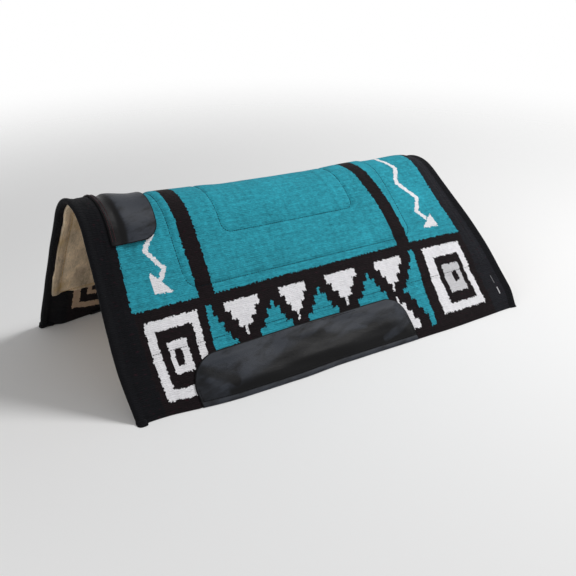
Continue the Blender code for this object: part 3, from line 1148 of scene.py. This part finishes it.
class SADDLEPAD_OT_blanket(Operator):
    """The woven blanket, in two pieces that meet beside the off fold"""

    bl_idname = "saddle_pad.blanket"
    bl_label = "Blanket"

    def execute(self, context):
        shape, layers, leathers, colours = settings(context)
        end = layers.binding + layers.gap
        fine = (2.0 * layers.seam_width, layers.seam_width / 2.5)
        marks = seam_marks(shape, layers)
        alongs = steps(end, shape.pad_length - end, layers.cell, marks, *fine)
        tuck = layers.leather + layers.gap
        for title, side in HALVES:
            materials = [
                woven_wool(colours, "Woven wool " + title, colours.white, off=side > 0),
                # The inside face shows the white yarn in painted shade.
                woven_wool(
                    colours, "Woven wool inside " + title, colours.shaded_white, off=side > 0
                ),
            ]
            marks = cross_marks(shape, layers, side)
            rows = half_rows(shape, layers.cell, side, shape.half_width, marks, *fine)

            def place(column, row, thick):
                along, across = alongs[column], rows[row]
                to_hem = 1.0 - ease((shape.half_width - np.abs(across)) / HEM_PULL)
                under = ease((along - leathers.wear_start) / LEATHER_STEP)
                under *= ease((leathers.wear_end - along) / LEATHER_STEP)
                pulled = to_hem * np.maximum(tuck * under, hem_wave(alongs)[column])
                across = np.copysign(np.abs(across) - pulled, across)
                height = relief(shape, layers, along, across) - thick
                return np.stack([along, across, height], 1)

            form = grid_slab(
                len(alongs),
                len(rows),
                lambda column, row: place(column, row, 0.0),
                lambda column, row: place(column, row, layers.blanket),
                (hem_row(side),),
                0.4 * layers.blanket,
            )
            piece = make_piece(shape, form, "blanket_" + title, materials)
            across_fold(shape, piece, side)
            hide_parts("blanket_crown", "blanket_" + FLANKS[side])
        return {"FINISHED"}


def felt_floor(layers):
    return -(layers.blanket + layers.gap + layers.felt)


class SADDLEPAD_OT_felt(Operator):
    """The felt filler between the blanket and the lining"""

    bl_idname = "saddle_pad.felt"
    bl_label = "Felt"

    def execute(self, context):
        shape, layers, _, colours = settings(context)
        material = grey_felt(colours)
        cell = 1.5 * layers.cell
        alongs = steps(layers.felt_start, shape.pad_length - layers.felt_start, cell)
        for title, side in HALVES:
            rows = half_rows(shape, cell, side, layers.felt_bottom)

            def top(column, row):
                along, across = alongs[column], rows[row]
                height = relief(shape, layers, along, across)
                height = height - layers.blanket - 2.0 * layers.gap
                return np.stack([along, across, height], 1)

            def floor(column, row):
                low = np.full(len(column), felt_floor(layers))
                return np.stack([alongs[column], rows[row], low], 1)

            form = grid_slab(len(alongs), len(rows), top, floor, (), 0.0)
            piece = make_piece(shape, form, "felt_" + title, [material])
            across_fold(shape, piece, side)
            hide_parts("filler_crown", "filler_" + FLANKS[side])
        return {"FINISHED"}


# Where the lining goes from the felt to the blanket, past the felt's edge
OFF_FELT = (0.010, 0.024)
# Depth and half width of the lining's dimples: round the felt, at the seat, at its own seam
FELT_DIMPLE, SEAT_DIMPLE, LINING_DIMPLE = (0.0022, 0.006), (0.0018, 0.006), (0.0022, 0.005)
# Over how far the lining's long edges and its front edge wander
RAGGED_OVER, FRAYED_OVER = 0.022, 0.02


def dimple(past_seam, depth, half_width):
    """How far the lining is drawn in beside a seam."""
    return depth * np.exp(-((past_seam / half_width) ** 2))


def lining_top(shape, layers, along, across):
    """Height of the lining's face against the felt and the blanket."""
    beyond = eased(past_felt(shape, layers, along, across), *OFF_FELT)
    under_felt = felt_floor(layers) - layers.gap
    under_blanket = relief(shape, layers, along, across) - layers.blanket - layers.gap
    return under_felt + beyond * (under_blanket - under_felt)


def lining_face(shape, layers, along, across):
    """Height of the lining's face against the horse, drawn in at the seams."""
    drawn_up = dimple(past_felt(shape, layers, along, across), *FELT_DIMPLE)
    drawn_up += dimple(past_quilt(shape, layers, along, across), *SEAT_DIMPLE)
    drawn_up += dimple(past_lining(shape, layers, along, across), *LINING_DIMPLE)
    soft = 0.6 * swelling.at(along, across)
    return lining_top(shape, layers, along, across) - layers.lining - soft + drawn_up


class SADDLEPAD_OT_lining(Operator):
    """The tan lining against the horse's back"""

    bl_idname = "saddle_pad.lining"
    bl_label = "Lining"

    ragged: length("Ragged edge", "How far the long edges wander", 0.0075)
    frayed: length("Frayed ends", "How far the front edge wanders", 0.0035)

    def execute(self, context):
        shape, layers, _, colours = settings(context)
        material = tan_felt(colours)
        cell = 1.2 * layers.cell
        fine = (2.0 * layers.seam_width, layers.seam_width / 2.0)
        end = shape.pad_length - layers.lining_end
        alongs = steps(layers.lining_end, end, cell, seam_marks(shape, layers), *fine)
        for title, side in HALVES:
            edge = layers.lining_edge - hem_rise(layers, side)
            marks = cross_marks(shape, layers, side)
            rows = half_rows(shape, cell, side, edge, marks, *fine)
            ragged = self.ragged * rough(34.0 * alongs, 0.3, 9.0 + side)
            frayed = self.frayed * rough(0.7, 30.0 * rows, 5.0)

            def place(column, row, height):
                along, across = alongs[column], rows[row]
                to_edge = 1.0 - ease((edge - np.abs(across)) / RAGGED_OVER)
                to_front = 1.0 - ease((along - layers.lining_end) / FRAYED_OVER)
                across = np.copysign(np.abs(across) + to_edge * ragged[column], across)
                along = along + to_front * frayed[row]
                return np.stack([along, across, height(shape, layers, along, across)], 1)

            form = grid_slab(
                len(alongs),
                len(rows),
                lambda column, row: place(column, row, lining_top),
                lambda column, row: place(column, row, lining_face),
                ("front", "rear", hem_row(side)),
                0.3 * layers.lining,
            )
            piece = make_piece(shape, form, "lining_" + title, [material])
            across_fold(shape, piece, side)
            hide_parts("lining_crown", "lining_" + FLANKS[side])
        return {"FINISHED"}


class SADDLEPAD_OT_bindings(Operator):
    """The rolled black wool bands round the front and rear edges"""

    bl_idname = "saddle_pad.bindings"
    bl_label = "Edge bindings"

    outer_leg: length("Outer leg", "Width on the blanket", 0.016)
    inner_leg: length("Inner leg", "Width inside", 0.0122)

    def execute(self, context):
        shape, layers, _, colours = settings(context)
        material = woven_wool(colours, "Black wool", colours.white, plain=True)
        radius = (layers.blanket + 2.0 * layers.gap + 2.0 * layers.binding) / 2.0
        outer = np.linspace(self.outer_leg, radius, 6)[:-1]
        inner = np.linspace(radius, self.inner_leg, 8)[1:]
        turns = (np.zeros(len(outer)), np.linspace(0.0, math.pi, 11), np.full(len(inner), math.pi))
        angles = np.concatenate(turns)
        inside_reach = np.full(len(angles), radius - layers.binding)
        outside_reach = np.full(len(angles), radius)
        thinned = (layers.binding - layers.gap) * eased(outer, radius, outer[0])
        outside_reach[: len(outer)] -= thinned
        for edge in ("front", "rear"):
            for title, side in HALVES:
                rows = half_rows(shape, layers.cell, side, shape.half_width)

                def place(column, row, reach):
                    rolled = radius - reach * np.sin(angles)
                    rolled[: len(outer)] = outer
                    rolled[-len(inner) :] = inner
                    along = rolled[column]
                    if edge == "rear":
                        along = shape.pad_length - along
                    across = rows[row]
                    base = relief(shape, layers, along, across) - layers.blanket / 2.0
                    return np.stack([along, across, base + (reach * np.cos(angles))[column]], 1)

                form = grid_slab(
                    len(angles),
                    len(rows),
                    lambda column, row: place(column, row, outside_reach),
                    lambda column, row: place(column, row, inside_reach),
                    ("front", "rear"),
                    0.4 * layers.binding,
                )
                name = edge + "_binding_"
                piece = make_piece(shape, form, name + title, [material])
                across_fold(shape, piece, side)
                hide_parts(name + "crown", name + FLANKS[side])
        return {"FINISHED"}


class SADDLEPAD_OT_corner_rolls(Operator):
    """The thick turned ends of the front binding at the hems"""

    bl_idname = "saddle_pad.corner_rolls"
    bl_label = "Corner rolls"

    width: length("Width", "Along the hem", 0.0165)
    off_width: length("Off width", "Along the off hem", 0.0270)
    reach: length("Reach", "From above the hem to past it", 0.0200)
    thickness: length("Thickness", "Through the roll", 0.0150)
    past_hem: length("Past the hem", "How far the near roll stands out", 0.0090)
    off_past_hem: length("Off past the hem", "How far the off roll stands out", 0.0015)

    def execute(self, context):
        shape, layers, _, colours = settings(context)
        material = woven_wool(colours, "Roll wool", colours.white, plain=True)
        ends = ((self.width, self.past_hem), (self.off_width, self.off_past_hem))
        at_hem = (np.array([0.01]), np.array([shape.half_width]))
        low = relief(shape, layers, *at_hem)[0] - layers.blanket / 2.0
        for (title, side), (width, past_hem) in zip(SIDES, ends):
            form = bmesh.new()
            bmesh.ops.create_cube(form, size=1.0)
            size = Vector((width, self.reach, self.thickness))
            bmesh.ops.scale(form, vec=size, verts=form.verts)
            round_off(form, form.edges[:], 0.38 * self.thickness, 4)
            bmesh.ops.triangulate(form, faces=form.faces[:])
            bmesh.ops.subdivide_edges(form, edges=form.edges[:], cuts=1, use_grid_fill=True)
            beyond = shape.half_width + past_hem - self.reach / 2.0
            middle = Vector((0.42 * width, side * beyond, low))
            for vert in form.verts:
                lump = noise.noise(vert.co * 180.0 + Vector((side, 0.0, 0.0)))
                vert.co += middle + Vector((0.0010 * lump, 0.0012 * lump, 0.0012 * lump))
            piece = make_piece(shape, form, "corner_roll_" + title, [material])
            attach(piece, title + "_side")
        return {"FINISHED"}


# Leathers

LEATHER_CELL = 0.0035
# Width of the darker rim round a leather's face: its black edge and painted shade of the shadow
# line along it
SHADED_RIM = 0.0016
RIM_ROUND = 0.0009
# Over how far the wear leathers' folds fade to their ends and to their edges, and the depth
# and half width of the groove that their seam pulls
FOLDS_TO_END, FOLDS_TO_EDGE = 0.03, 0.02
GROOVE = (0.0014, 0.0020)

# Withers leather, from its front edge: the gathered band, the groove, and the swollen panel
BAND_RISE, BAND_FALL = (0.0, 0.004), (0.008, 0.016)
PANEL_RISE, PANEL_FALL, PANEL_SOFT = (0.0195, 0.0315), (0.0405, 0.0865), (0.0225, 0.0425)


def leather_piece(shape, form, name, outer, inner, materials):
    """Thickens a flat leather patch, rounds its rim off and makes it a piece."""
    made = bmesh.ops.extrude_face_region(form, geom=form.faces[:])["geom"]
    raised = {thing for thing in made if isinstance(thing, bmesh.types.BMVert)}
    for face in form.faces:
        if len({vert in raised for vert in face.verts}) == 2:
            face.material_index = 1
    top = np.array([vert in raised for vert in form.verts])
    bench = np.array([vert.co for vert in form.verts])
    rim = [
        edge
        for edge in form.edges
        if all(vert in raised for vert in edge.verts)
        and any(not all(vert in raised for vert in face.verts) for face in edge.link_faces)
    ]
    place_verts(form, np.where(top[:, None], outer(bench), inner(bench)))
    round_off(form, rim, RIM_ROUND, 2)
    return make_piece(shape, form, name, materials)


def withers_face(shape, layers, leathers, along, across):
    """Height of the withers leather's face: a gathered front band, a groove, and the panel."""
    past = along - leathers.withers_start
    gathers = rough(3.0 * along, 95.0 * across, 4.2)
    soft = rough(21.0 * along, 17.0 * across, 8.8)
    height = relief(shape, layers, along, across) + layers.gap + layers.leather
    band = eased(past, *BAND_RISE) * (1.0 - eased(past, *BAND_FALL))
    height += 0.0022 * (0.8 + 0.6 * gathers) * band
    height += 0.0046 * eased(past, *PANEL_RISE) - 0.0030 * eased(past, *PANEL_FALL)
    return height + 0.0016 * (0.5 + soft) * eased(past, *PANEL_SOFT)


def withers_outline(leathers):
    """Corners of the withers leather laid flat, each with its radius."""
    start, end, bottom = leathers.withers_start, leathers.withers_end, leathers.withers_bottom
    half = [
        (start, bottom + 0.0055, 0.003),
        (end - 0.007, bottom, leathers.withers_corner),
        (end, bottom - 0.050, 0.020),
    ]
    other = [(along, -across, radius) for along, across, radius in reversed(half)]
    return half + [(end + 0.004, 0.0, 0.014)] + other


class SADDLEPAD_OT_withers_leather(Operator):
    """The leather over the withers, gathered into the seam of the front border"""

    bl_idname = "saddle_pad.withers_leather"
    bl_label = "Withers leather"

    def execute(self, context):
        shape, layers, leathers, colours = settings(context)
        form = patch(withers_outline(leathers), LEATHER_CELL, SHADED_RIM)

        def face(bench):
            along, across, _ = bench.T
            height = withers_face(shape, layers, leathers, along, across)
            return np.stack([along, across, height], 1)

        def back(bench):
            along, across, _ = bench.T
            height = relief(shape, layers, along, across) + layers.gap
            return np.stack([along, across, height], 1)

        materials = [black_leather(colours, "Withers leather", panel_sheen_and_shade), shaded_edge(colours)]
        piece = leather_piece(shape, form, "withers_patch", face, back, materials)
        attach(piece, "crown")
        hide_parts("withers_leather")
        return {"FINISHED"}


def round_hem(shape, layers, side, bench, reach, height):
    """Bench places on a strip that runs down the outside, round the hem and up inside."""
    along, run, _ = bench.T
    radius = layers.blanket / 2.0 + layers.gap + layers.leather
    middle = shape.half_width - radius
    turn = np.clip((run - middle) / radius, 0.0, math.pi)
    past = np.maximum(run - middle - math.pi * radius, 0.0)
    across = np.minimum(run, middle) + reach * np.sin(turn) - past
    out = height - layers.blanket / 2.0 + reach * np.cos(turn)
    return np.stack([along, side * across, out], 1)


def wear_outline(leathers, end_of_run):
    """Corners of a wear leather laid flat, each with its radius."""
    start, end, top = leathers.wear_start, leathers.wear_end, leathers.wear_top
    return [
        (start, end_of_run, 0.003),
        (start, top + 0.036, 0.024),
        (start + FRONT_RUN, top + FRONT_RAISED, 0.022),
        (start + TOP_RUN, top, 0.030),
        (end, top, leathers.wear_corner),
        (end, end_of_run, 0.003),
    ]


def wear_folds(side, along, run):
    """Soft folds of the wear leather, as it lies over the wool."""
    lean = along + 1.6 * (run - 0.34)
    wide = rough(11.0 * along, 26.0 * run, 2.0 + side)
    slant = rough(9.0 * lean, 70.0 * run, 6.0 - side)
    return 0.0052 * (0.5 + wide) + 0.0022 * (0.5 + slant)


class SADDLEPAD_OT_wear_leathers(Operator):
    """The leathers along the hems, folded round them and sewn through"""

    bl_idname = "saddle_pad.wear_leathers"
    bl_label = "Wear leathers"

    def execute(self, context):
        shape, layers, leathers, colours = settings(context)
        materials = [black_leather(colours, "Wear leather", sheen_and_wear_flap), shaded_edge(colours)]
        radius = layers.blanket / 2.0 + layers.gap + layers.leather
        end_of_run = shape.half_width - radius + math.pi * radius + leathers.wear_return
        for title, side in SIDES:
            form = patch(wear_outline(leathers, end_of_run), LEATHER_CELL, SHADED_RIM)

            def outside(bench):
                along, run, _ = bench.T
                past_seam = run - leathers.wear_seam
                to_rim = [
                    (along - leathers.wear_start) / FOLDS_TO_END,
                    (leathers.wear_end - along) / FOLDS_TO_END,
                    (run - leathers.wear_top) / FOLDS_TO_EDGE,
                    -past_seam / FOLDS_TO_EDGE,
                ]
                height = relief(shape, layers, along, side * np.minimum(run, shape.half_width))
                height += wear_folds(side, along, run) * ease(np.minimum.reduce(to_rim))
                height -= dimple(past_seam, *GROOVE)
                return round_hem(shape, layers, side, bench, radius, height)

            def inside_face(bench):
                along, run, _ = bench.T
                height = relief(shape, layers, along, side * np.minimum(run, shape.half_width))
                return round_hem(shape, layers, side, bench, radius - layers.leather, height)

            piece = leather_piece(
                shape, form, "wear_patch_" + title, outside, inside_face, materials
            )
            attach(piece, title + "_side")
            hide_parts("wear_leather_" + title + "_side")
        return {"FINISHED"}


# Stitches

STITCH_SHARE = 0.42
BALL_APART = 4.0
# The wear stitches follow an outline that runs down to here, past the seam
STITCHED_TO = 0.45


def rounded_line(start, end, bottom, corner, top):
    """Bench line down one side of a sewn box, along its bottom and up, with round corners."""
    turns = np.linspace(0.0, math.pi / 2.0, 7)
    first = [
        (start + corner * (1.0 - math.cos(turn)), bottom - corner * (1.0 - math.sin(turn)))
        for turn in turns
    ]
    last = [(start + end - along, across) for along, across in reversed(first)]
    return np.array([(start, top), *first, *last, (end, top)])


def drawn_in(outline, inset):
    """Bench line that follows an open outline of corners and radii, drawn in from it."""
    corners = np.array([corner[:2] for corner in outline])
    low, high = corners.min(0), corners.max(0)
    middle = (low + high) / 2.0
    corners = middle + (corners - middle) * (1.0 - 2.0 * inset / (high - low))
    radii = [radius for _, _, radius in outline[1:]]
    line = [corners[0]]
    share = np.linspace(0.0, 1.0, 7)[:, None]
    for before, corner, after, radius in zip(corners, corners[1:], corners[2:], radii):
        back = (before - corner) / np.linalg.norm(before - corner)
        ahead = (after - corner) / np.linalg.norm(after - corner)
        pull = 2.0 * share * (1.0 - share) * math.sqrt((1.0 - back @ ahead) / 2.0)
        first, last = (1.0 - share) ** 2, share**2
        arc = first * (corner + radius * back) + pull * corner + last * (corner + radius * ahead)
        line += list(arc / (first + pull + last))
    return np.array(line + [corners[-1]])


def row_of_balls(count):
    """A form with small balls evenly along X."""
    balls = bmesh.new()
    upright = Matrix.Rotation(math.pi / 2.0, 4, "Y")
    bmesh.ops.create_uvsphere(balls, u_segments=6, v_segments=5, radius=1.0, matrix=upright)
    made = 1
    while made < count:
        whole = balls.verts[:] + balls.edges[:] + balls.faces[:]
        for thing in bmesh.ops.duplicate(balls, geom=whole)["geom"]:
            if isinstance(thing, bmesh.types.BMVert):
                thing.co.x += BALL_APART * made
        made *= 2
    spare = [vert for vert in balls.verts if vert.co.x > BALL_APART * (count - 0.5)]
    bmesh.ops.delete(balls, geom=spare, context="VERTS")
    return balls


def sew(form, line, height, pitch, thickness, shade=0):
    """Adds a row of stitches along a bench line. height gives how high the cloth lies there, and
    shade is the number of their material."""
    line = np.asarray(line, float)
    runs = np.concatenate([[0.0], np.cumsum(np.linalg.norm(np.diff(line, axis=0), axis=1))])
    middles = (np.arange(int(runs[-1] / pitch)) + 0.5) * pitch

    def at(run):
        return np.stack([np.interp(run, runs, line[:, axis]) for axis in (0, 1)], 1)

    places = at(middles)
    ahead = at(middles + 0.3 * pitch) - at(middles - 0.3 * pitch)
    ahead /= np.linalg.norm(ahead, axis=1)[:, None]
    along, across = places.T
    sunk = rough(170.0 * along, 170.0 * across, 3.0)
    lifts = height(along, across) + (0.10 + 0.70 * np.minimum(sunk, 0.15)) * thickness
    stitches = row_of_balls(len(places))
    spots = np.array([vert.co for vert in stitches.verts])
    number = np.rint(spots[:, 0] / BALL_APART).astype(int)
    over = STITCH_SHARE * pitch * (spots[:, 0] - BALL_APART * number)
    beside = 0.5 * thickness * spots[:, 1]
    way = ahead[number]
    bench = [
        along[number] + over * way[:, 0] - beside * way[:, 1],
        across[number] + over * way[:, 1] + beside * way[:, 0],
        lifts[number] + 0.5 * thickness * spots[:, 2],
    ]
    place_verts(stitches, np.stack(bench, 1))
    for face in stitches.faces:
        face.material_index = shade
    row = bpy.data.meshes.new("row")
    stitches.to_mesh(row)
    stitches.free()
    form.from_mesh(row)
    bpy.data.meshes.remove(row)


class SADDLEPAD_OT_stitching(Operator):
    """The quilting seams through all layers, and the seams of the leathers"""

    bl_idname = "saddle_pad.stitching"
    bl_label = "Stitching"

    pitch: length("Pitch", "Length of a stitch and its hole", 0.0046)
    quilting: length("Quilting thread", "Thickness of the quilting thread", 0.0013)
    leather_pitch: length("Leather pitch", "Length of a stitch in the leathers", 0.0038)
    leather_thread: length("Leather thread", "Thickness of the leather thread", 0.0013)
    wear_inset: length("Wear inset", "From a wear leather's edge to its stitches", 0.0045)

    def execute(self, context):
        shape, layers, leathers, colours = settings(context)
        black = thread("Leather thread", colours.cold_black)
        self.quilt(shape, layers, colours, black)
        self.wear_seams(shape, layers, leathers, black)
        self.withers_seams(shape, layers, leathers, colours)
        return {"FINISHED"}

    def quilt(self, shape, layers, colours, black):
        """The seams through all layers, seen on top and underneath."""
        dark = thread("Quilting thread", colours.dark_thread)
        pale = thread("Lining thread", colours.stain)
        end = shape.pad_length
        thin = 0.8 * self.quilting
        seams = (
            (layers.felt_start, layers.felt_bottom, layers.felt_corner),
            (layers.quilt_start, shape.fold_at, layers.quilt_corner),
        )

        def on_top(along, across):
            return relief(shape, layers, along, across)

        def underneath(along, across):
            return lining_face(shape, layers, along, across) - 0.5 * self.quilting

        for title, side in HALVES:
            top = side * shape.join_at
            quilting = bmesh.new()
            for start, bottom, corner in seams:
                line = rounded_line(start, end - start, bottom, corner, top) * (1.0, side)
                sew(quilting, line, on_top, self.pitch, self.quilting)
                sew(quilting, line, underneath, self.pitch, self.quilting, 2)
            inset = layers.lining_inset
            bottom = layers.lining_bottom - hem_rise(layers, side)
            line = rounded_line(inset, end - inset, bottom, layers.seam_width, top) * (1.0, side)
            sew(quilting, line[1:-1], on_top, self.pitch, thin, 1)
            sew(quilting, line, underneath, self.pitch, thin, 2)
            piece = make_piece(shape, quilting, "quilting_" + title, [dark, black, pale])
            across_fold(shape, piece, side)

    def wear_seams(self, shape, layers, leathers, black):
        """The stitches round the wear leathers and along their fold."""
        seam, inset = leathers.wear_seam, self.wear_inset
        size = (self.leather_pitch, self.leather_thread)

        def on_leather(along, across):
            return relief(shape, layers, along, across) + layers.gap + layers.leather

        def in_groove(along, across):
            return on_leather(along, across) - 0.001

        for title, side in SIDES:
            worn = bmesh.new()
            line = drawn_in(wear_outline(leathers, STITCHED_TO), inset)
            line = line[line[:, 1] < seam]
            line = np.array([(line[0, 0], seam), *line, (line[-1, 0], seam)])
            sew(worn, line * (1.0, side), on_leather, *size)
            ends = (leathers.wear_start + inset, leathers.wear_end - inset)
            sew(worn, [(along, side * seam) for along in ends], in_groove, *size)
            piece = make_piece(shape, worn, "wear_stitches_" + title, [black])
            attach(piece, title + "_side")

    def withers_seams(self, shape, layers, leathers, colours):
        """The two rows of stitches in the gathered front of the withers leather."""
        red = thread("Withers thread", colours.red_thread)
        withers = bmesh.new()
        bottom = leathers.withers_bottom - 0.001

        def on_band(along, across):
            return withers_face(shape, layers, leathers, along, across)

        for inset in (0.0030, 0.0085):
            line = [(leathers.withers_start + inset, across) for across in (-bottom, bottom)]
            sew(withers, line, on_band, self.leather_pitch, self.leather_thread)
        piece = make_piece(shape, withers, "withers_stitches", [red])
        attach(piece, "crown")


# Stage


class SADDLEPAD_OT_stage(Operator):
    """The pale floor, the soft lamps, the white world and the camera"""

    bl_idname = "saddle_pad.stage"
    bl_label = "Stage"

    camera_place: FloatVectorProperty(
        name="Camera",
        description="Place of the camera",
        default=(-0.9614, -1.3724, 0.8445),
        subtype="TRANSLATION",
    )
    heading: angle("Heading", "Turn of the camera from the pad's width toward its rear", 36.406)
    tilt: angle("Tilt", "How far the camera looks down", 25.502)
    roll: angle("Roll", "Turn of the camera round its own line", -0.496)
    lens: amount("Lens", "Focal length on a 36 mm frame", 57.163)
    room_light: amount("Room light", "Strength of the even light", 0.30)
    key_light: amount("Key light", "Power of the large lamp", 41.0)
    fill_light: amount("Fill light", "Power of the side lamp", 9.0)
    floor_radius: length("Floor", "Radius of the floor", 2.4)
    fade_start: length("Fade start", "Where the floor starts to fade out", 0.6)
    fade_end: length("Fade end", "Where the floor is gone", 2.2)

    def execute(self, context):
        scene = context.scene
        scene.view_settings.view_transform = "Standard"
        self.camera(scene)
        self.lamp("Key lamp", (1.35, -0.75, 2.05), 0.9, self.key_light)
        self.lamp("Fill lamp", (-2.1, -0.9, 1.2), 1.4, self.fill_light)
        self.world(scene)
        self.floor()
        return {"FINISHED"}

    def camera(self, scene):
        data = bpy.data.cameras.new("Camera")
        data.sensor_width = 36.0
        data.lens = self.lens
        level = math.cos(self.tilt)
        heading = (math.sin(self.heading) * level, math.cos(self.heading) * level)
        ahead = Vector((*heading, -math.sin(self.tilt)))
        right = ahead.cross(Vector((0.0, 0.0, 1.0))).normalized()
        turned = Matrix((right, right.cross(ahead), -ahead)).transposed().to_4x4()
        place = Matrix.Translation(self.camera_place)
        scene.camera = add_object("Camera", data)
        scene.camera.matrix_world = place @ turned @ Matrix.Rotation(self.roll, 4, "Z")

    def lamp(self, name, place, size, power):
        """A round lamp turned to the middle of the pad."""
        data = bpy.data.lights.new(name, "AREA")
        data.shape = "DISK"
        data.size = size
        data.energy = power
        lamp = add_object(name, data)
        lamp.location = place
        toward = Vector((0.0, 0.0, 0.12)) - Vector(place)
        lamp.rotation_euler = toward.to_track_quat("-Z", "Y").to_euler()

    def world(self, scene):
        """White where it is seen or mirrored, and a soft even light elsewhere."""
        world = bpy.data.worlds.new("White room")
        scene.world = world
        world.use_nodes = True
        room = Nodes(world.node_tree)
        ray = room.add("LightPath")
        shown = room.out(ray, "Is Camera Ray") | room.out(ray, "Is Glossy Ray")
        shown = shown | room.out(ray, "Is Transmission Ray")
        background = world.node_tree.nodes["Background"]
        background.inputs["Color"].default_value = (1.0, 1.0, 1.0, 1.0)
        strength = self.room_light + shown * (1.0 - self.room_light)
        room.feed(background.inputs["Strength"], strength)

    def floor(self):
        """A pale floor that fades out into the white room."""
        form = bmesh.new()
        bmesh.ops.create_circle(form, cap_ends=True, radius=self.floor_radius, segments=64)
        mesh = bpy.data.meshes.new("Floor")
        form.to_mesh(mesh)
        form.free()
        material = bpy.data.materials.new("Pale floor")
        material.use_nodes = True
        material.node_tree.nodes.clear()
        pale = Nodes(material.node_tree)
        away = pale.add("VectorMath", {0: pale.place()}, operation="LENGTH")
        fade = pale.ramp(pale.out(away, "Value"), self.fade_start, self.fade_end)
        matte = pale.add("BsdfDiffuse", {"Color": (0.92, 0.92, 0.92, 1.0)})
        clear = pale.add("BsdfTransparent")
        blend = pale.add("MixShader", {0: fade, 1: pale.out(matte), 2: pale.out(clear)})
        pale.add("OutputMaterial", {"Surface": pale.out(blend)})
        mesh.materials.append(material)
        plane = add_object("Floor", mesh)
        plane.location = (0.0, 0.0, -0.0006)


class SADDLEPAD_PT_panel(Panel):
    """Lists the pieces of the saddle pad"""

    bl_idname = "SADDLEPAD_PT_panel"
    bl_label = "Saddle Pad"
    bl_space_type = "VIEW_3D"
    bl_region_type = "UI"
    bl_category = "Saddle Pad"

    def draw(self, context):
        for operator in OPERATORS:
            self.layout.operator(operator.bl_idname, text=operator.bl_label)
        for group in settings(context):
            column = self.layout.column(align=True)
            for title in group.__annotations__:
                column.prop(group, title)


GROUPS = {
    "pad_shape": PadShape,
    "pad_layers": PadLayers,
    "pad_leathers": PadLeathers,
    "pad_colours": PadColours,
}
OPERATORS = (
    SADDLEPAD_OT_stuffing,
    SADDLEPAD_OT_blanket,
    SADDLEPAD_OT_felt,
    SADDLEPAD_OT_lining,
    SADDLEPAD_OT_bindings,
    SADDLEPAD_OT_corner_rolls,
    SADDLEPAD_OT_withers_leather,
    SADDLEPAD_OT_wear_leathers,
    SADDLEPAD_OT_stitching,
    SADDLEPAD_OT_stage,
)


def register():
    for kind in (*GROUPS.values(), *OPERATORS, SADDLEPAD_PT_panel):
        bpy.utils.register_class(kind)
    for title, group in GROUPS.items():
        setattr(bpy.types.Scene, title, PointerProperty(type=group))


def unregister():
    for title in GROUPS:
        delattr(bpy.types.Scene, title)
    for kind in reversed((*GROUPS.values(), *OPERATORS, SADDLEPAD_PT_panel)):
        bpy.utils.unregister_class(kind)


def main():
    register()
    for operator in OPERATORS:
        call = operator.bl_idname.split(".")[1]
        getattr(bpy.ops.saddle_pad, call)()


if __name__ == "__main__":
    main()
